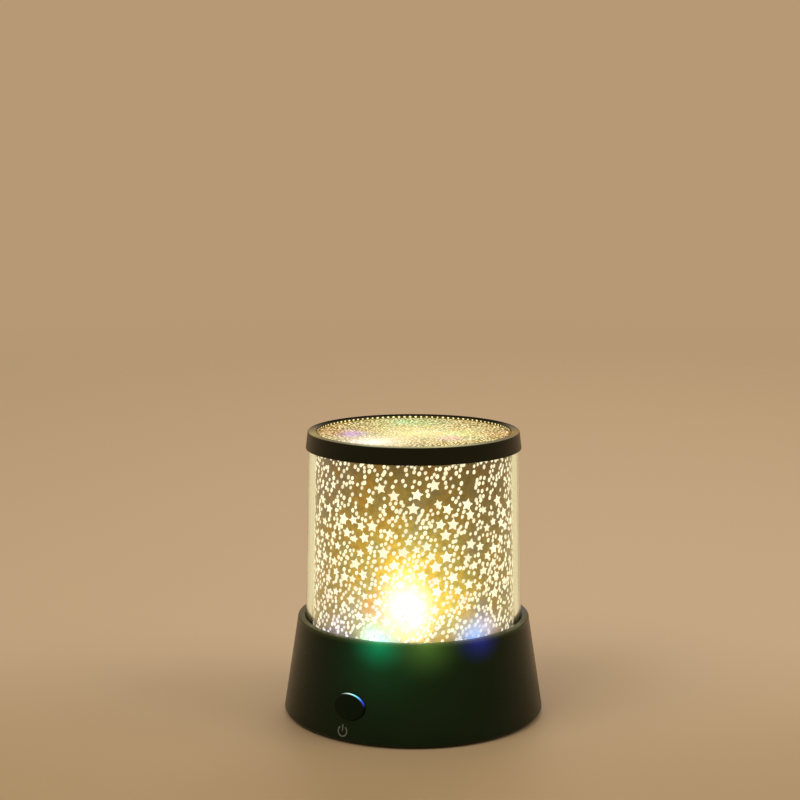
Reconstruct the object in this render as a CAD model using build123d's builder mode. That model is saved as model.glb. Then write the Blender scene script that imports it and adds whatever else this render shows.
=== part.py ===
from build123d import *
import os
from math import asin, atan2, cos, degrees, hypot, radians, sin, tan

# Star night light projector: a black conical lamp base with LEDs, and a clear shade lined with star film.
# Millimetres. The origin is on the table under the lamp's axis, +Z is up and the front faces -Y.
# An azimuth is in degrees, counted from the front (-Y) and positive to the right (+X).

# ---------------------------------------------------------------- lamp base
foot_proud = 0.8  # how far the rubber feet stand below the housing
foot_diameter = 9.0
foot_pocket = 0.8  # depth of a foot's pocket in the cover
foot_margin = 4.0  # between a foot and the cover's edge
foot_count = 4
foot_angle = 45.0  # azimuth of the first foot

base_diameter = 115.7  # at the lower edge, before that edge is rounded
base_edge_round = 1.5
ledge_width = 3.4  # from the shade's outside to the ledge's outer edge
ledge_height = 43.6  # above the table
ledge_edge_round = 0.8
shell_wall = 2.2
floor_thickness = 2.2
socket_depth = 6.0  # how deep the shade stands below the ledge
socket_edge_round = 0.4

# ---------------------------------------------------------------- shade
overall_height = 126.2
tube_diameter = 95.8  # outside, at the ledge
tube_draft = 1.19  # degrees, narrower towards the top
tube_wall = 2.6
tube_play = 0.25  # radial gap between the shade and its socket
top_plate = 1.6
cap_height = 7.4
cap_wall = 2.16  # radial, at the lower edge of the skirt
cap_taper = 0.9  # how much narrower the ring's radius is at its top
cap_edge_round = 0.5
cap_lip_width = 3.75
cap_lip_thickness = 1.2
cap_rebate = 1.1  # how far the shade steps in under the cap ring
cap_play = 0.1
film_thickness = 0.25
film_gap = 0.6  # between the film sleeve and the shade's inside
film_end_gap = 0.3
disc_play = 0.15

# ---------------------------------------------------------------- LEDs and their board
led_diameter = 5.0
led_flange_diameter = 5.8
led_flange = 1.0
led_height = 8.6
led_leg = 0.5
led_leg_pitch = 2.54
led_leg_tail = 1.5  # length of a leg under the board
leg_hole_play = 0.2
spacer_diameter = 6.6
centre_spacer = 6.0
colour_spacer = 4.0
spacer_play = 0.4
colour_led_circle = 30.0
colour_led_angle = -35.0  # azimuth of the green LED; blue and red follow
board_diameter = 72.0
board_thickness = 1.6
board_standoff = 3.0
standoff_diameter = 6.0
board_screw_circle = 24.0
board_screw_angle = 25.0
board_screw_count = 3
board_screw_shank = 2.0
board_screw_head = 4.4
board_screw_head_height = 1.4
board_screw_length = 4.0
reflector_thickness = 0.5
reflector_play = 0.8  # between the reflector disc and the film sleeve
resistor_size = (3.2, 1.6, 0.6)
resistor_spread = (8.0, 6.0)
resistor_centre = (0.0, 12.0)
chip_size = (5.0, 4.0, 1.5)
chip_centre = (0.0, -11.0)
chip_leg = 0.45
chip_leg_reach = 1.0
chip_leg_pitch = 1.27
chip_legs_per_side = 4

# ---------------------------------------------------------------- bottom cover and battery box
cover_recess = 0.4
cover_thickness = 2.2
cover_play = 0.25
cover_screw_angle = 30.0
cover_screw_count = 3
cover_screw_shank = 2.6
cover_screw_head = 5.0
cover_screw_head_height = 1.5
cover_screw_length = 10.0
thread_play = 0.05  # radial, between a screw and its pilot hole
screw_hole_play = 0.25  # radial, where a screw passes through freely
boss_wall = 2.2
boss_gap = 0.35  # between a boss's top and the housing's wall
boss_rib = 1.2

cell_diameter = 14.5
cell_length = 50.5
cell_nub_diameter = 5.5
cell_nub = 1.0
cell_count = 3
cell_pitch = 15.2
cell_play = 0.3
box_side_play = 0.6  # beside the outer cells
box_wall = 2.4
box_roof = 1.4
door_ledge = 1.2  # how far the box wall reaches over the door's edge
spring_room = 5.5
contact_sheet = 0.4
contact_height = 12.0
contact_width = 10.0
contact_tail_width = 3.0
contact_tail = 3.0  # height of a solder tail above the contact
contact_dimple = 0.3
spring_wire = 0.7
spring_base_radius = 4.2
spring_tip_radius = 2.6
spring_turns = 4
spring_sink = 0.15  # how deep the first turn is set in its sheet
spring_tip_gap = 0.1  # between the last turn and the cell

# ---------------------------------------------------------------- battery door
door_thickness = 2.0
door_play = 0.3
tongue_width = 5.0
tongue_thickness = 1.2
tongue_lift = 0.1  # gap between a tongue and the plate that it hooks over
tongue_reach = 1.5  # past the outer face of the box wall
tongue_root = 2.0
tongue_slot_height = 3.0
ear_radius = 5.0
ear_reach = 4.5  # from the box wall to the door screw
door_screw_shank = 2.4
door_screw_head = 4.8
door_screw_head_height = 1.4
door_screw_length = 4.5  # above the door
door_screw_play = 0.5
door_boss_height = 5.0
grip_count = 5
grip_pitch = 2.4
grip_length = 16.0
grip_depth = 0.5
grip_width = 1.2
recess_width = 0.6
recess_length = 2.6
recess_depth = 0.7

# ---------------------------------------------------------------- mode button and its switch
button_angle = -29.5
button_height = 15.9
button_width = 15.0
button_tall = 11.5
button_proud = 1.3
button_edge_round = 0.9
button_play = 0.2
button_flange = 1.2
button_flange_rim = 1.2
button_post_diameter = 4.0
button_post = 1.6
button_travel = 0.7
collar_wall = 1.2
collar_depth = 4.6  # from the housing's outer face to the collar's inner end
plunger_diameter = 3.4
plunger_proud = 1.0
plunger_hidden = 1.6
plunger_play = 0.1
switch_size = 8.0
switch_depth = 4.5
switch_board_width = 16.0
switch_board_height = 12.0
switch_board_thickness = 1.2
upright_width = 3.0
upright_depth = 4.0
upright_groove = 1.2
upright_play = 0.1
upright_cover = 8.0  # how much of the board's height the uprights hold

# ---------------------------------------------------------------- power inlet
jack_height = 14.0
jack_body = (9.0, 11.0)  # across and up
jack_depth = 14.0
jack_nose_diameter = 7.6
jack_nose_play = 0.2
jack_nose_inset = 0.6
jack_bore = 5.6
jack_bore_depth = 9.0
jack_pin_diameter = 2.1
jack_pin_inset = 1.0
jack_pad_size = 12.5
jack_pad_depth = 4.8  # from the housing's outer face to the pad's inner face
cradle_wall = 1.4
cradle_length = 9.0
cradle_stop = 3.0  # height of the rib behind the jack, above its underside

# ---------------------------------------------------------------- wires
wire_diameter = 1.3
wire_run_depth = 3.4  # how far under the board the wires run
wire_arc_share = 0.45
battery_landings = ((18.0, -14.0), (-21.0, 14.0))  # where the leads meet the LED board, in X and Y
switch_landings = ((-7.8, -29.0), (-4.2, -29.7))
jack_landings = ((3.4, 25.0), (-1.4, 25.0))
switch_lead_pitch = 3.2
jack_lead_pitch = 4.8
jack_lug_inset = 2.0  # from the jack's back to its lugs

# ---------------------------------------------------------------- places worked out from the sizes
base_bottom = foot_proud
ledge_radius = tube_diameter / 2 + ledge_width
base_slope = (base_diameter / 2 - ledge_radius) / (ledge_height - base_bottom)
seat_z = ledge_height - socket_depth
floor_under = seat_z - floor_thickness
board_top = floor_under - board_standoff
board_under = board_top - board_thickness

cap_bottom = overall_height - cap_height
lip_under = overall_height - cap_lip_thickness
disc_under = lip_under - film_thickness
plate_under = disc_under - top_plate

cover_bottom = base_bottom + cover_recess
cover_top = cover_bottom + cover_thickness
foot_thickness = foot_proud + cover_recess + foot_pocket
door_top = cover_bottom + door_thickness
cell_axis_z = door_top + cell_play + cell_diameter / 2
roof_under = cell_axis_z + cell_diameter / 2 + cell_play
roof_top = roof_under + box_roof
contact_bottom = roof_under - contact_height - cell_play

box_inner_width = (cell_count - 1) * cell_pitch + cell_diameter + 2 * box_side_play
box_inner_length = cell_length + spring_room + 2 * contact_sheet + contact_dimple
box_outer_width = box_inner_width + 2 * box_wall
box_outer_length = box_inner_length + 2 * box_wall
opening_width = box_inner_width + 2 * door_ledge
opening_length = box_inner_length + 2 * door_ledge
door_screw_y = box_outer_length / 2 + ear_reach
tongue_x = cell_pitch / 2


def base_radius(z):
    """Outer radius of the housing at a height."""
    return base_diameter / 2 - (z - base_bottom) * base_slope


def base_inner_radius(z):
    return base_radius(z) - shell_wall


def tube_radius(z):
    """Outer radius of the clear shade at a height."""
    return tube_diameter / 2 - (z - ledge_height) * tan(radians(tube_draft))


def tube_inner_radius(z):
    return tube_radius(z) - tube_wall


def film_radius(z):
    """Outer radius of the film sleeve at a height."""
    return tube_inner_radius(z) - film_gap


socket_radius = tube_radius(seat_z) + tube_play
neck_radius = tube_radius(cap_bottom) - cap_rebate
cap_bore_radius = neck_radius + cap_play
cap_skirt_radius = cap_bore_radius + cap_wall
cap_top_radius = cap_skirt_radius - cap_taper
cap_lip_radius = cap_top_radius - cap_lip_width
cover_radius = base_inner_radius(cover_top) - cover_play
cover_screw_circle = base_inner_radius(floor_under) - boss_gap - boss_wall - cover_screw_shank / 2
foot_circle = cover_radius - foot_margin - foot_diameter / 2
reflector_radius = film_radius(seat_z) - film_thickness - reflector_play
collar_end = base_radius(button_height) - collar_depth
plunger_front = collar_end - button_flange - button_post
switch_front = plunger_front - plunger_proud
switch_back = switch_front - switch_depth
switch_board_back = switch_back - switch_board_thickness
switch_board_bottom = button_height - switch_board_height / 2
pad_face = base_radius(jack_height) - jack_pad_depth
nose_front = base_radius(jack_height + jack_nose_diameter / 2) - jack_nose_inset
bore_floor = nose_front - jack_bore_depth
jack_under = jack_height - jack_body[1] / 2


def place(radius, azimuth):
    """X and Y of a point at a radius and an azimuth."""
    angle = radians(azimuth)
    return (radius * sin(angle), -radius * cos(angle))


def ring(radius, start, count):
    """Evenly spaced places round the axis."""
    return [place(radius, start + 360 * i / count) for i in range(count)]


def outward_plane(azimuth, height):
    """A plane through the axis whose normal points outwards at an azimuth, with its Y up."""
    angle = radians(azimuth)
    return Plane(origin=(0, 0, height), x_dir=(cos(angle), sin(angle), 0), z_dir=(sin(angle), -cos(angle), 0))


def radial_plane(azimuth):
    """A plane that holds the axis: its X runs outwards at an azimuth and its Y is up."""
    angle = radians(azimuth)
    return Plane(origin=(0, 0, 0), x_dir=(sin(angle), -cos(angle), 0), z_dir=(-cos(angle), -sin(angle), 0))


def turned_plane(azimuth, height):
    """A level plane whose -Y points outwards at an azimuth."""
    angle = radians(azimuth)
    return Plane(origin=(0, 0, height), x_dir=(cos(angle), sin(angle), 0), z_dir=(0, 0, 1))


cover_screw_places = ring(cover_screw_circle, cover_screw_angle, cover_screw_count)
board_screw_places = ring(board_screw_circle, board_screw_angle, board_screw_count)
foot_places = ring(foot_circle, foot_angle, foot_count)
colour_led_places = ring(colour_led_circle, colour_led_angle, 3)
led_places = [(0.0, 0.0)] + colour_led_places
leg_places = [(x + side * led_leg_pitch / 2, y) for x, y in led_places for side in (-1, 1)]
button_plane = outward_plane(button_angle, button_height)
jack_plane = outward_plane(180, jack_height)
tongue_places = [-tongue_x, tongue_x]


# ================================================================ lamp base
def trimmed_to_housing(block):
    """The block without what would stand out of the housing's conical side."""
    with BuildPart() as envelope:
        with BuildSketch(Plane.XZ):
            with BuildLine():
                Polyline(
                    (0, base_bottom),
                    (base_radius(base_bottom) - shell_wall / 2, base_bottom),
                    (ledge_radius - shell_wall / 2, ledge_height),
                    (0, ledge_height),
                    close=True,
                )
            make_face()
        revolve(axis=Axis.Z)
    with BuildPart() as trimmed:
        add(block)
        add(envelope.part, mode=Mode.INTERSECT)
    return trimmed.part


def make_button_collar():
    """The oval guide that surrounds the button on the inside of the wall."""
    with BuildPart() as collar:
        with BuildSketch(button_plane.offset(collar_end)):
            Ellipse(
                button_width / 2 + button_play + collar_wall,
                button_tall / 2 + button_play + collar_wall,
            )
        extrude(amount=collar_depth + shell_wall)
    return trimmed_to_housing(collar.part)


def make_jack_pad():
    """The flat pad inside the wall that the power inlet seats on."""
    with BuildPart() as pad:
        with BuildSketch(jack_plane.offset(pad_face)):
            Rectangle(jack_pad_size, jack_pad_size)
        extrude(amount=jack_pad_depth + shell_wall)
    return trimmed_to_housing(pad.part)


def make_base_shell():
    collar = make_button_collar()
    pad = make_jack_pad()
    with BuildPart() as base_shell:
        with BuildSketch(Plane.XZ):
            with BuildLine():
                Polyline(
                    (0, seat_z),
                    (socket_radius, seat_z),
                    (socket_radius, ledge_height),
                    (ledge_radius, ledge_height),
                    (base_radius(base_bottom), base_bottom),
                    (base_inner_radius(base_bottom), base_bottom),
                    (base_inner_radius(floor_under), floor_under),
                    (0, floor_under),
                    close=True,
                )
            make_face()
        revolve(axis=Axis.Z)
        rims = base_shell.edges().filter_by(GeomType.CIRCLE)
        lower_rims = rims.group_by(Axis.Z)[0]
        upper_rims = rims.group_by(Axis.Z)[-1]
        fillet(lower_rims.sort_by(SortBy.RADIUS)[-1], base_edge_round)
        fillet(upper_rims.sort_by(SortBy.RADIUS)[-1], ledge_edge_round)
        rims = base_shell.edges().filter_by(GeomType.CIRCLE)
        fillet(rims.group_by(Axis.Z)[-1].sort_by(SortBy.RADIUS)[0], socket_edge_round)

        # Screw bosses that hang from the floor, each tied to the wall by a rib.
        with BuildSketch(Plane.XY.offset(cover_top)):
            with Locations(*cover_screw_places):
                Circle(cover_screw_shank / 2 + boss_wall)
        extrude(amount=floor_under - cover_top)
        for index in range(cover_screw_count):
            azimuth = cover_screw_angle + 360 * index / cover_screw_count
            with BuildSketch(radial_plane(azimuth)):
                with BuildLine():
                    Polyline(
                        (cover_screw_circle, cover_top),
                        (base_inner_radius(cover_top) + shell_wall / 4, cover_top),
                        (base_inner_radius(floor_under) + shell_wall / 4, floor_under),
                        (cover_screw_circle, floor_under),
                        close=True,
                    )
                make_face()
            extrude(amount=boss_rib / 2, both=True)
        with BuildSketch(Plane.XY.offset(board_top)):
            with Locations(*board_screw_places):
                Circle(standoff_diameter / 2)
        extrude(amount=board_standoff)
        add(collar)
        add(pad)

        # Holes: cover screws, board screws, LEDs, button and power inlet.
        with BuildSketch(Plane.XY.offset(cover_top)):
            with Locations(*cover_screw_places):
                Circle(cover_screw_shank / 2 + thread_play)
        extrude(amount=cover_screw_length, mode=Mode.SUBTRACT)
        with BuildSketch(Plane.XY.offset(board_top)):
            with Locations(*board_screw_places):
                Circle(board_screw_shank / 2 + thread_play)
        extrude(amount=board_screw_length, mode=Mode.SUBTRACT)
        with BuildSketch(Plane.XY.offset(seat_z)):
            with Locations(*led_places):
                Circle(spacer_diameter / 2 + spacer_play)
        extrude(amount=-floor_thickness, mode=Mode.SUBTRACT)
        with BuildSketch(button_plane.offset(collar_end)):
            Ellipse(button_width / 2 + button_play, button_tall / 2 + button_play)
        extrude(amount=collar_depth + shell_wall, mode=Mode.SUBTRACT)
        with BuildSketch(jack_plane.offset(pad_face)):
            Circle(jack_nose_diameter / 2 + jack_nose_play)
        extrude(amount=jack_pad_depth + shell_wall, mode=Mode.SUBTRACT)
    base_shell.part.label = "base_shell"
    export_step(base_shell.part, "parts/base_shell.step")


def make_reflector_disc():
    with BuildPart() as reflector_disc:
        with BuildSketch(Plane.XY.offset(seat_z)):
            Circle(reflector_radius)
            with Locations(*led_places):
                Circle(spacer_diameter / 2 + spacer_play, mode=Mode.SUBTRACT)
        extrude(amount=reflector_thickness)
    reflector_disc.part.label = "reflector_disc"
    export_step(reflector_disc.part, "parts/reflector_disc.step")


# ================================================================ LED board
def make_led_board():
    with BuildPart() as led_board:
        with BuildSketch(Plane.XY.offset(board_under)):
            Circle(board_diameter / 2)
            with Locations(*board_screw_places):
                Circle(board_screw_shank / 2 + screw_hole_play, mode=Mode.SUBTRACT)
            with Locations(*leg_places):
                Circle(led_leg / 2 + leg_hole_play, mode=Mode.SUBTRACT)
        extrude(amount=board_thickness)
    led_board.part.label = "led_board"
    export_step(led_board.part, "parts/led_board.step")


def make_board_screws():
    with BuildPart() as board_screws:
        with BuildSketch(Plane.XY.offset(board_under)):
            with Locations(*board_screw_places):
                Circle(board_screw_head / 2)
        extrude(amount=-board_screw_head_height)
        top_rims = board_screws.faces().filter_by(Axis.Z).group_by(Axis.Z)[0].edges()
        fillet(top_rims, board_screw_head_height / 3)
        with BuildSketch(Plane.XY.offset(board_under)):
            with Locations(*board_screw_places):
                Circle(board_screw_shank / 2)
        extrude(amount=board_thickness + board_screw_length - thread_play)
        recess = cross_recess(board_screw_places, board_under - board_screw_head_height)
        extrude(recess, amount=recess_depth, mode=Mode.SUBTRACT)
    board_screws.part.label = "board_screws"
    export_step(board_screws.part, "parts/board_screws.step")


def cross_recess(places, face_z):
    """The cross cut in each screw head, as a sketch on its face."""
    with BuildSketch(Plane.XY.offset(face_z)) as recess:
        with Locations(*places):
            Rectangle(recess_length, recess_width)
            Rectangle(recess_width, recess_length)
    return recess.sketch


def make_led(name, centre, spacer):
    """A domed LED on its spacer, with two legs that pass through the board."""
    x, y = centre
    foot = board_top + spacer
    dome_radius = led_diameter / 2
    with BuildPart() as led:
        with BuildSketch(Plane.XZ.offset(-y)):
            with BuildLine():
                Polyline(
                    (x, foot + led_height),
                    (x, foot),
                    (x + led_flange_diameter / 2, foot),
                    (x + led_flange_diameter / 2, foot + led_flange),
                    (x + dome_radius, foot + led_flange),
                    (x + dome_radius, foot + led_height - dome_radius),
                )
                RadiusArc(
                    (x + dome_radius, foot + led_height - dome_radius),
                    (x, foot + led_height),
                    -dome_radius,
                )
            make_face()
        revolve(axis=Axis((x, y, 0), (0, 0, 1)))
        with BuildSketch(Plane.XY.offset(foot)):
            with Locations((x - led_leg_pitch / 2, y), (x + led_leg_pitch / 2, y)):
                Circle(led_leg / 2)
        extrude(amount=-(spacer + board_thickness + led_leg_tail))
    led.part.label = name
    export_step(led.part, f"parts/{name}.step")


def make_spacers(name, places, height):
    """Tubular spacers that hold LEDs above the board."""
    with BuildPart() as spacers:
        with BuildSketch(Plane.XY.offset(board_top)):
            with Locations(*places):
                Circle(spacer_diameter / 2)
            legs = [(x + side * led_leg_pitch / 2, y) for x, y in places for side in (-1, 1)]
            with Locations(*legs):
                Circle(led_leg / 2 + leg_hole_play, mode=Mode.SUBTRACT)
        extrude(amount=height)
    spacers.part.label = name
    export_step(spacers.part, f"parts/{name}.step")


def make_led_resistors():
    across, along, thick = resistor_size
    with BuildPart() as led_resistors:
        with BuildSketch(Plane.XY.offset(board_under)):
            with Locations(resistor_centre):
                with GridLocations(*resistor_spread, 2, 2):
                    Rectangle(across, along)
        extrude(amount=-thick)
    led_resistors.part.label = "led_resistors"
    export_step(led_resistors.part, "parts/led_resistors.step")


def make_controller_chip():
    across, along, thick = chip_size
    with BuildPart() as controller_chip:
        with BuildSketch(Plane.XY.offset(board_under - chip_leg / 2)):
            with Locations(chip_centre):
                Rectangle(across, along)
        extrude(amount=-thick)
        with BuildSketch(Plane.XY.offset(board_under)):
            with Locations(chip_centre):
                with GridLocations(chip_leg_pitch, 0, chip_legs_per_side, 1):
                    Rectangle(chip_leg, along + 2 * chip_leg_reach)
        extrude(amount=-chip_leg)
    controller_chip.part.label = "controller_chip"
    export_step(controller_chip.part, "parts/controller_chip.step")


# ================================================================ bottom cover
def make_bottom_cover():
    with BuildPart() as bottom_cover:
        with BuildSketch(Plane.XY.offset(cover_bottom)):
            Circle(cover_radius)
        extrude(amount=cover_thickness)
        with BuildSketch(Plane.XY.offset(cover_top)):
            Rectangle(box_outer_width, box_outer_length)
        extrude(amount=roof_top - cover_top)
        box_corners = bottom_cover.edges().filter_by(Axis.Z)
        fillet(box_corners, box_wall / 2)

        # The boss for the door screw, tied to the box by a rib.
        with BuildSketch(Plane.XY.offset(door_top)):
            with Locations((0, door_screw_y)):
                Circle(door_screw_shank / 2 + door_screw_play + boss_wall)
            with Locations((0, box_outer_length / 2 + ear_reach / 2)):
                Rectangle(boss_rib, ear_reach)
        extrude(amount=door_boss_height)

        # Uprights that hold the switch board.
        upright_middle = -(switch_back + switch_board_back) / 2
        upright_x = switch_board_width / 2 + upright_width / 2 - upright_groove
        with BuildSketch(turned_plane(button_angle, cover_top)):
            with Locations((-upright_x, upright_middle), (upright_x, upright_middle)):
                Rectangle(upright_width, upright_depth)
        extrude(amount=switch_board_bottom + upright_cover - cover_top)
        with BuildSketch(turned_plane(button_angle, switch_board_bottom)):
            with Locations((0, upright_middle)):
                Rectangle(
                    switch_board_width + 2 * upright_play,
                    switch_board_thickness + 2 * upright_play,
                )
        extrude(amount=switch_board_height, mode=Mode.SUBTRACT)

        # The cradle under the power inlet, with a rib behind it.
        with BuildSketch(turned_plane(180, cover_top)):
            for side in (-1, 1):
                with Locations((side * (jack_body[0] - cradle_wall) / 2, -pad_face + cradle_length / 2 + 1)):
                    Rectangle(cradle_wall, cradle_length)
        extrude(amount=jack_under - cover_top)
        with BuildSketch(turned_plane(180, cover_top)):
            with Locations((0, -pad_face + jack_depth + cradle_wall / 2)):
                Rectangle(jack_body[0], cradle_wall)
        extrude(amount=jack_under + cradle_stop - cover_top)

        # The inside of the battery box and the opening for its door.
        with BuildSketch(Plane.XY.offset(door_top)):
            Rectangle(box_inner_width, box_inner_length)
        extrude(amount=roof_under - door_top, mode=Mode.SUBTRACT)
        with BuildSketch(Plane.XY.offset(cover_bottom)):
            Rectangle(opening_width, opening_length)
            with Locations((0, door_screw_y)):
                Circle(ear_radius + door_play)
            with Locations((0, (opening_length / 2 + door_screw_y) / 2)):
                Rectangle(2 * (ear_radius + door_play), door_screw_y - opening_length / 2)
        extrude(amount=door_thickness, mode=Mode.SUBTRACT)

        # Slots for the door's tongues, open down to the door over its edge, and for the solder tails.
        wall_outside = -box_outer_length / 2 - door_play
        wall_inside = -box_inner_length / 2
        for slot_floor, front, rear in (
            (cover_top, wall_outside, -opening_length / 2),
            (door_top, -opening_length / 2, wall_inside),
        ):
            with BuildSketch(Plane.XY.offset(slot_floor)):
                with Locations(*[(x, (front + rear) / 2) for x in tongue_places]):
                    Rectangle(tongue_width + 2 * door_play, rear - front)
            extrude(amount=cover_top + tongue_slot_height - slot_floor, mode=Mode.SUBTRACT)
        tail_y = (box_inner_length - contact_sheet) / 2
        with BuildSketch(Plane.XY.offset(roof_under)):
            with Locations((cell_pitch, -tail_y), (-cell_pitch, tail_y)):
                Rectangle(contact_tail_width + 2 * door_play, contact_sheet + 2 * door_play)
        extrude(amount=box_roof, mode=Mode.SUBTRACT)

        # Screw holes and the pockets for the feet.
        with Locations(*[(x, y, cover_bottom) for x, y in cover_screw_places]):
            countersunk_hole(cover_screw_shank, cover_screw_head, cover_screw_head_height, cover_thickness)
        with BuildSketch(Plane.XY.offset(door_top)):
            with Locations((0, door_screw_y)):
                Circle(door_screw_shank / 2 + door_screw_play)
        extrude(amount=door_boss_height, mode=Mode.SUBTRACT)
        with BuildSketch(Plane.XY.offset(cover_bottom)):
            with Locations(*foot_places):
                Circle(foot_diameter / 2)
        extrude(amount=foot_pocket, mode=Mode.SUBTRACT)
    bottom_cover.part.label = "bottom_cover"
    export_step(bottom_cover.part, "parts/bottom_cover.step")


def countersunk_hole(shank, head, head_height, depth):
    """A hole with a conical seat that opens downwards, at each location in use."""
    wide = head / 2 + screw_hole_play
    narrow = shank / 2 + screw_hole_play
    Cone(wide, narrow, head_height, align=(Align.CENTER, Align.CENTER, Align.MIN), mode=Mode.SUBTRACT)
    Cylinder(narrow, depth, align=(Align.CENTER, Align.CENTER, Align.MIN), mode=Mode.SUBTRACT)


def countersunk_screws(places, face_z, shank, head, head_height, length):
    """Countersunk screws whose heads lie in the plane face_z and that point up."""
    seat = (Align.CENTER, Align.CENTER, Align.MIN)
    with BuildPart() as screws:
        with Locations(*[(x, y, face_z) for x, y in places]):
            Cone(head / 2, shank / 2, head_height, align=seat)
            Cylinder(shank / 2, length, align=seat)
        extrude(cross_recess(places, face_z), amount=recess_depth, mode=Mode.SUBTRACT)
    return screws


def make_cover_screws():
    cover_screws = countersunk_screws(
        cover_screw_places,
        cover_bottom,
        cover_screw_shank,
        cover_screw_head,
        cover_screw_head_height,
        cover_thickness + cover_screw_length - 1,
    )
    cover_screws.part.label = "cover_screws"
    export_step(cover_screws.part, "parts/cover_screws.step")


def make_rubber_feet():
    with BuildPart() as rubber_feet:
        with BuildSketch(Plane.XY):
            with Locations(*foot_places):
                Circle(foot_diameter / 2)
        extrude(amount=foot_thickness)
        chamfer(rubber_feet.faces().filter_by(Axis.Z).group_by(Axis.Z)[0].edges(), foot_proud / 3)
    rubber_feet.part.label = "rubber_feet"
    export_step(rubber_feet.part, "parts/rubber_feet.step")


# ================================================================ batteries and contacts
def cell_x(index):
    return (index - (cell_count - 1) / 2) * cell_pitch


def cell_direction(index):
    """-1 where a cell's positive end points to the front, +1 where it points to the rear."""
    return -1 if index % 2 == 0 else 1


def make_cell(name, index):
    side = cell_direction(index)
    tip = side * (box_inner_length / 2 - contact_sheet - contact_dimple)
    plane = Plane(origin=(cell_x(index), tip, cell_axis_z), x_dir=(1, 0, 0), z_dir=(0, -side, 0))
    with BuildPart() as cell:
        with BuildSketch(plane):
            Circle(cell_nub_diameter / 2)
        extrude(amount=cell_nub)
        with BuildSketch(plane.offset(cell_nub)):
            Circle(cell_diameter / 2)
        extrude(amount=cell_length - cell_nub)
        rims = cell.edges().filter_by(GeomType.CIRCLE).filter_by(
            lambda rim: rim.radius > cell_nub_diameter
        )
        fillet(rims, 0.6)
    cell.part.label = name
    export_step(cell.part, f"parts/{name}.step")


def contact_plane(index, end):
    """The plane of a contact's working face at one end of a cell; its normal points at the cell."""
    y = end * (box_inner_length / 2 - contact_sheet)
    return Plane(origin=(cell_x(index), y, cell_axis_z), x_dir=(end, 0, 0), z_dir=(0, -end, 0))


def make_contact(name, indexes, end, has_tail):
    """A sheet contact across one or two cells: a dimple for each positive end, a spring for the other."""
    xs = [cell_x(index) for index in indexes]
    width = max(xs) - min(xs) + contact_width
    middle = (max(xs) + min(xs)) / 2
    back = end * box_inner_length / 2
    sheet_plane = Plane(origin=(middle, back, contact_bottom), x_dir=(end, 0, 0), z_dir=(0, -end, 0))
    with BuildPart() as contact:
        with BuildSketch(sheet_plane):
            Rectangle(width, contact_height, align=(Align.CENTER, Align.MIN))
            if has_tail:
                with Locations((0, contact_height)):
                    Rectangle(contact_tail_width, contact_tail, align=(Align.CENTER, Align.MIN))
        extrude(amount=contact_sheet)
        for index in indexes:
            face = contact_plane(index, end)
            if cell_direction(index) == end:
                with BuildSketch(face):
                    Circle(cell_nub_diameter / 3)
                extrude(amount=contact_dimple)
            else:
                add(contact_spring(face))
    contact.part.label = name
    export_step(contact.part, f"parts/{name}.step")


def contact_spring(face):
    """A conical spring that narrows towards the cell."""
    height = spring_room - spring_wire + spring_sink - spring_tip_gap
    taper = degrees(atan2(spring_base_radius - spring_tip_radius, height))
    with BuildPart() as spring:
        with BuildLine(face.offset(spring_wire / 2 - spring_sink)):
            coil = Helix(
                pitch=height / spring_turns,
                height=height,
                radius=spring_base_radius,
                direction=face.z_dir,
                cone_angle=-taper,
            )
        with BuildSketch(Plane(origin=coil @ 0, z_dir=coil % 0)):
            Circle(spring_wire / 2)
        sweep(path=coil, is_frenet=True)
    return spring.part


# ================================================================ battery door
def make_battery_door():
    door_width = opening_width - 2 * door_play
    door_length = opening_length - 2 * door_play
    with BuildPart() as battery_door:
        with BuildSketch(Plane.XY.offset(cover_bottom)):
            Rectangle(door_width, door_length)
            with Locations((0, door_screw_y)):
                Circle(ear_radius)
            with Locations((0, (door_length / 2 + door_screw_y) / 2)):
                Rectangle(2 * ear_radius, door_screw_y - door_length / 2)
        extrude(amount=door_thickness)

        # Two tongues that hook over the cover's edge at the front.
        root_front = -box_inner_length / 2 + door_play
        tongue_bottom = cover_top + tongue_lift
        tongue_tip = -box_outer_length / 2 - tongue_reach
        with BuildSketch(Plane.XY.offset(door_top)):
            with Locations(*[(x, root_front + tongue_root / 2) for x in tongue_places]):
                Rectangle(tongue_width, tongue_root)
        extrude(amount=tongue_bottom + tongue_thickness - door_top)
        with BuildSketch(Plane.XY.offset(tongue_bottom)):
            with Locations(*[(x, (root_front + tongue_tip) / 2) for x in tongue_places]):
                Rectangle(tongue_width, root_front - tongue_tip)
        extrude(amount=tongue_thickness)

        # Finger ridges are left between grooves near the screw end.
        grip_y = opening_length / 2 - ear_radius - grip_count * grip_pitch / 2
        with BuildSketch(Plane.XY.offset(cover_bottom)):
            with Locations((0, grip_y)):
                with GridLocations(0, grip_pitch, 1, grip_count):
                    SlotOverall(grip_length, grip_width)
        extrude(amount=grip_depth, mode=Mode.SUBTRACT)
        with Locations((0, door_screw_y, cover_bottom)):
            countersunk_hole(door_screw_shank, door_screw_head, door_screw_head_height, door_thickness)
    battery_door.part.label = "battery_door"
    export_step(battery_door.part, "parts/battery_door.step")


def make_door_screw():
    door_screw = countersunk_screws(
        [(0, door_screw_y)],
        cover_bottom,
        door_screw_shank,
        door_screw_head,
        door_screw_head_height,
        door_thickness + door_screw_length,
    )
    door_screw.part.label = "door_screw"
    export_step(door_screw.part, "parts/door_screw.step")


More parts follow.
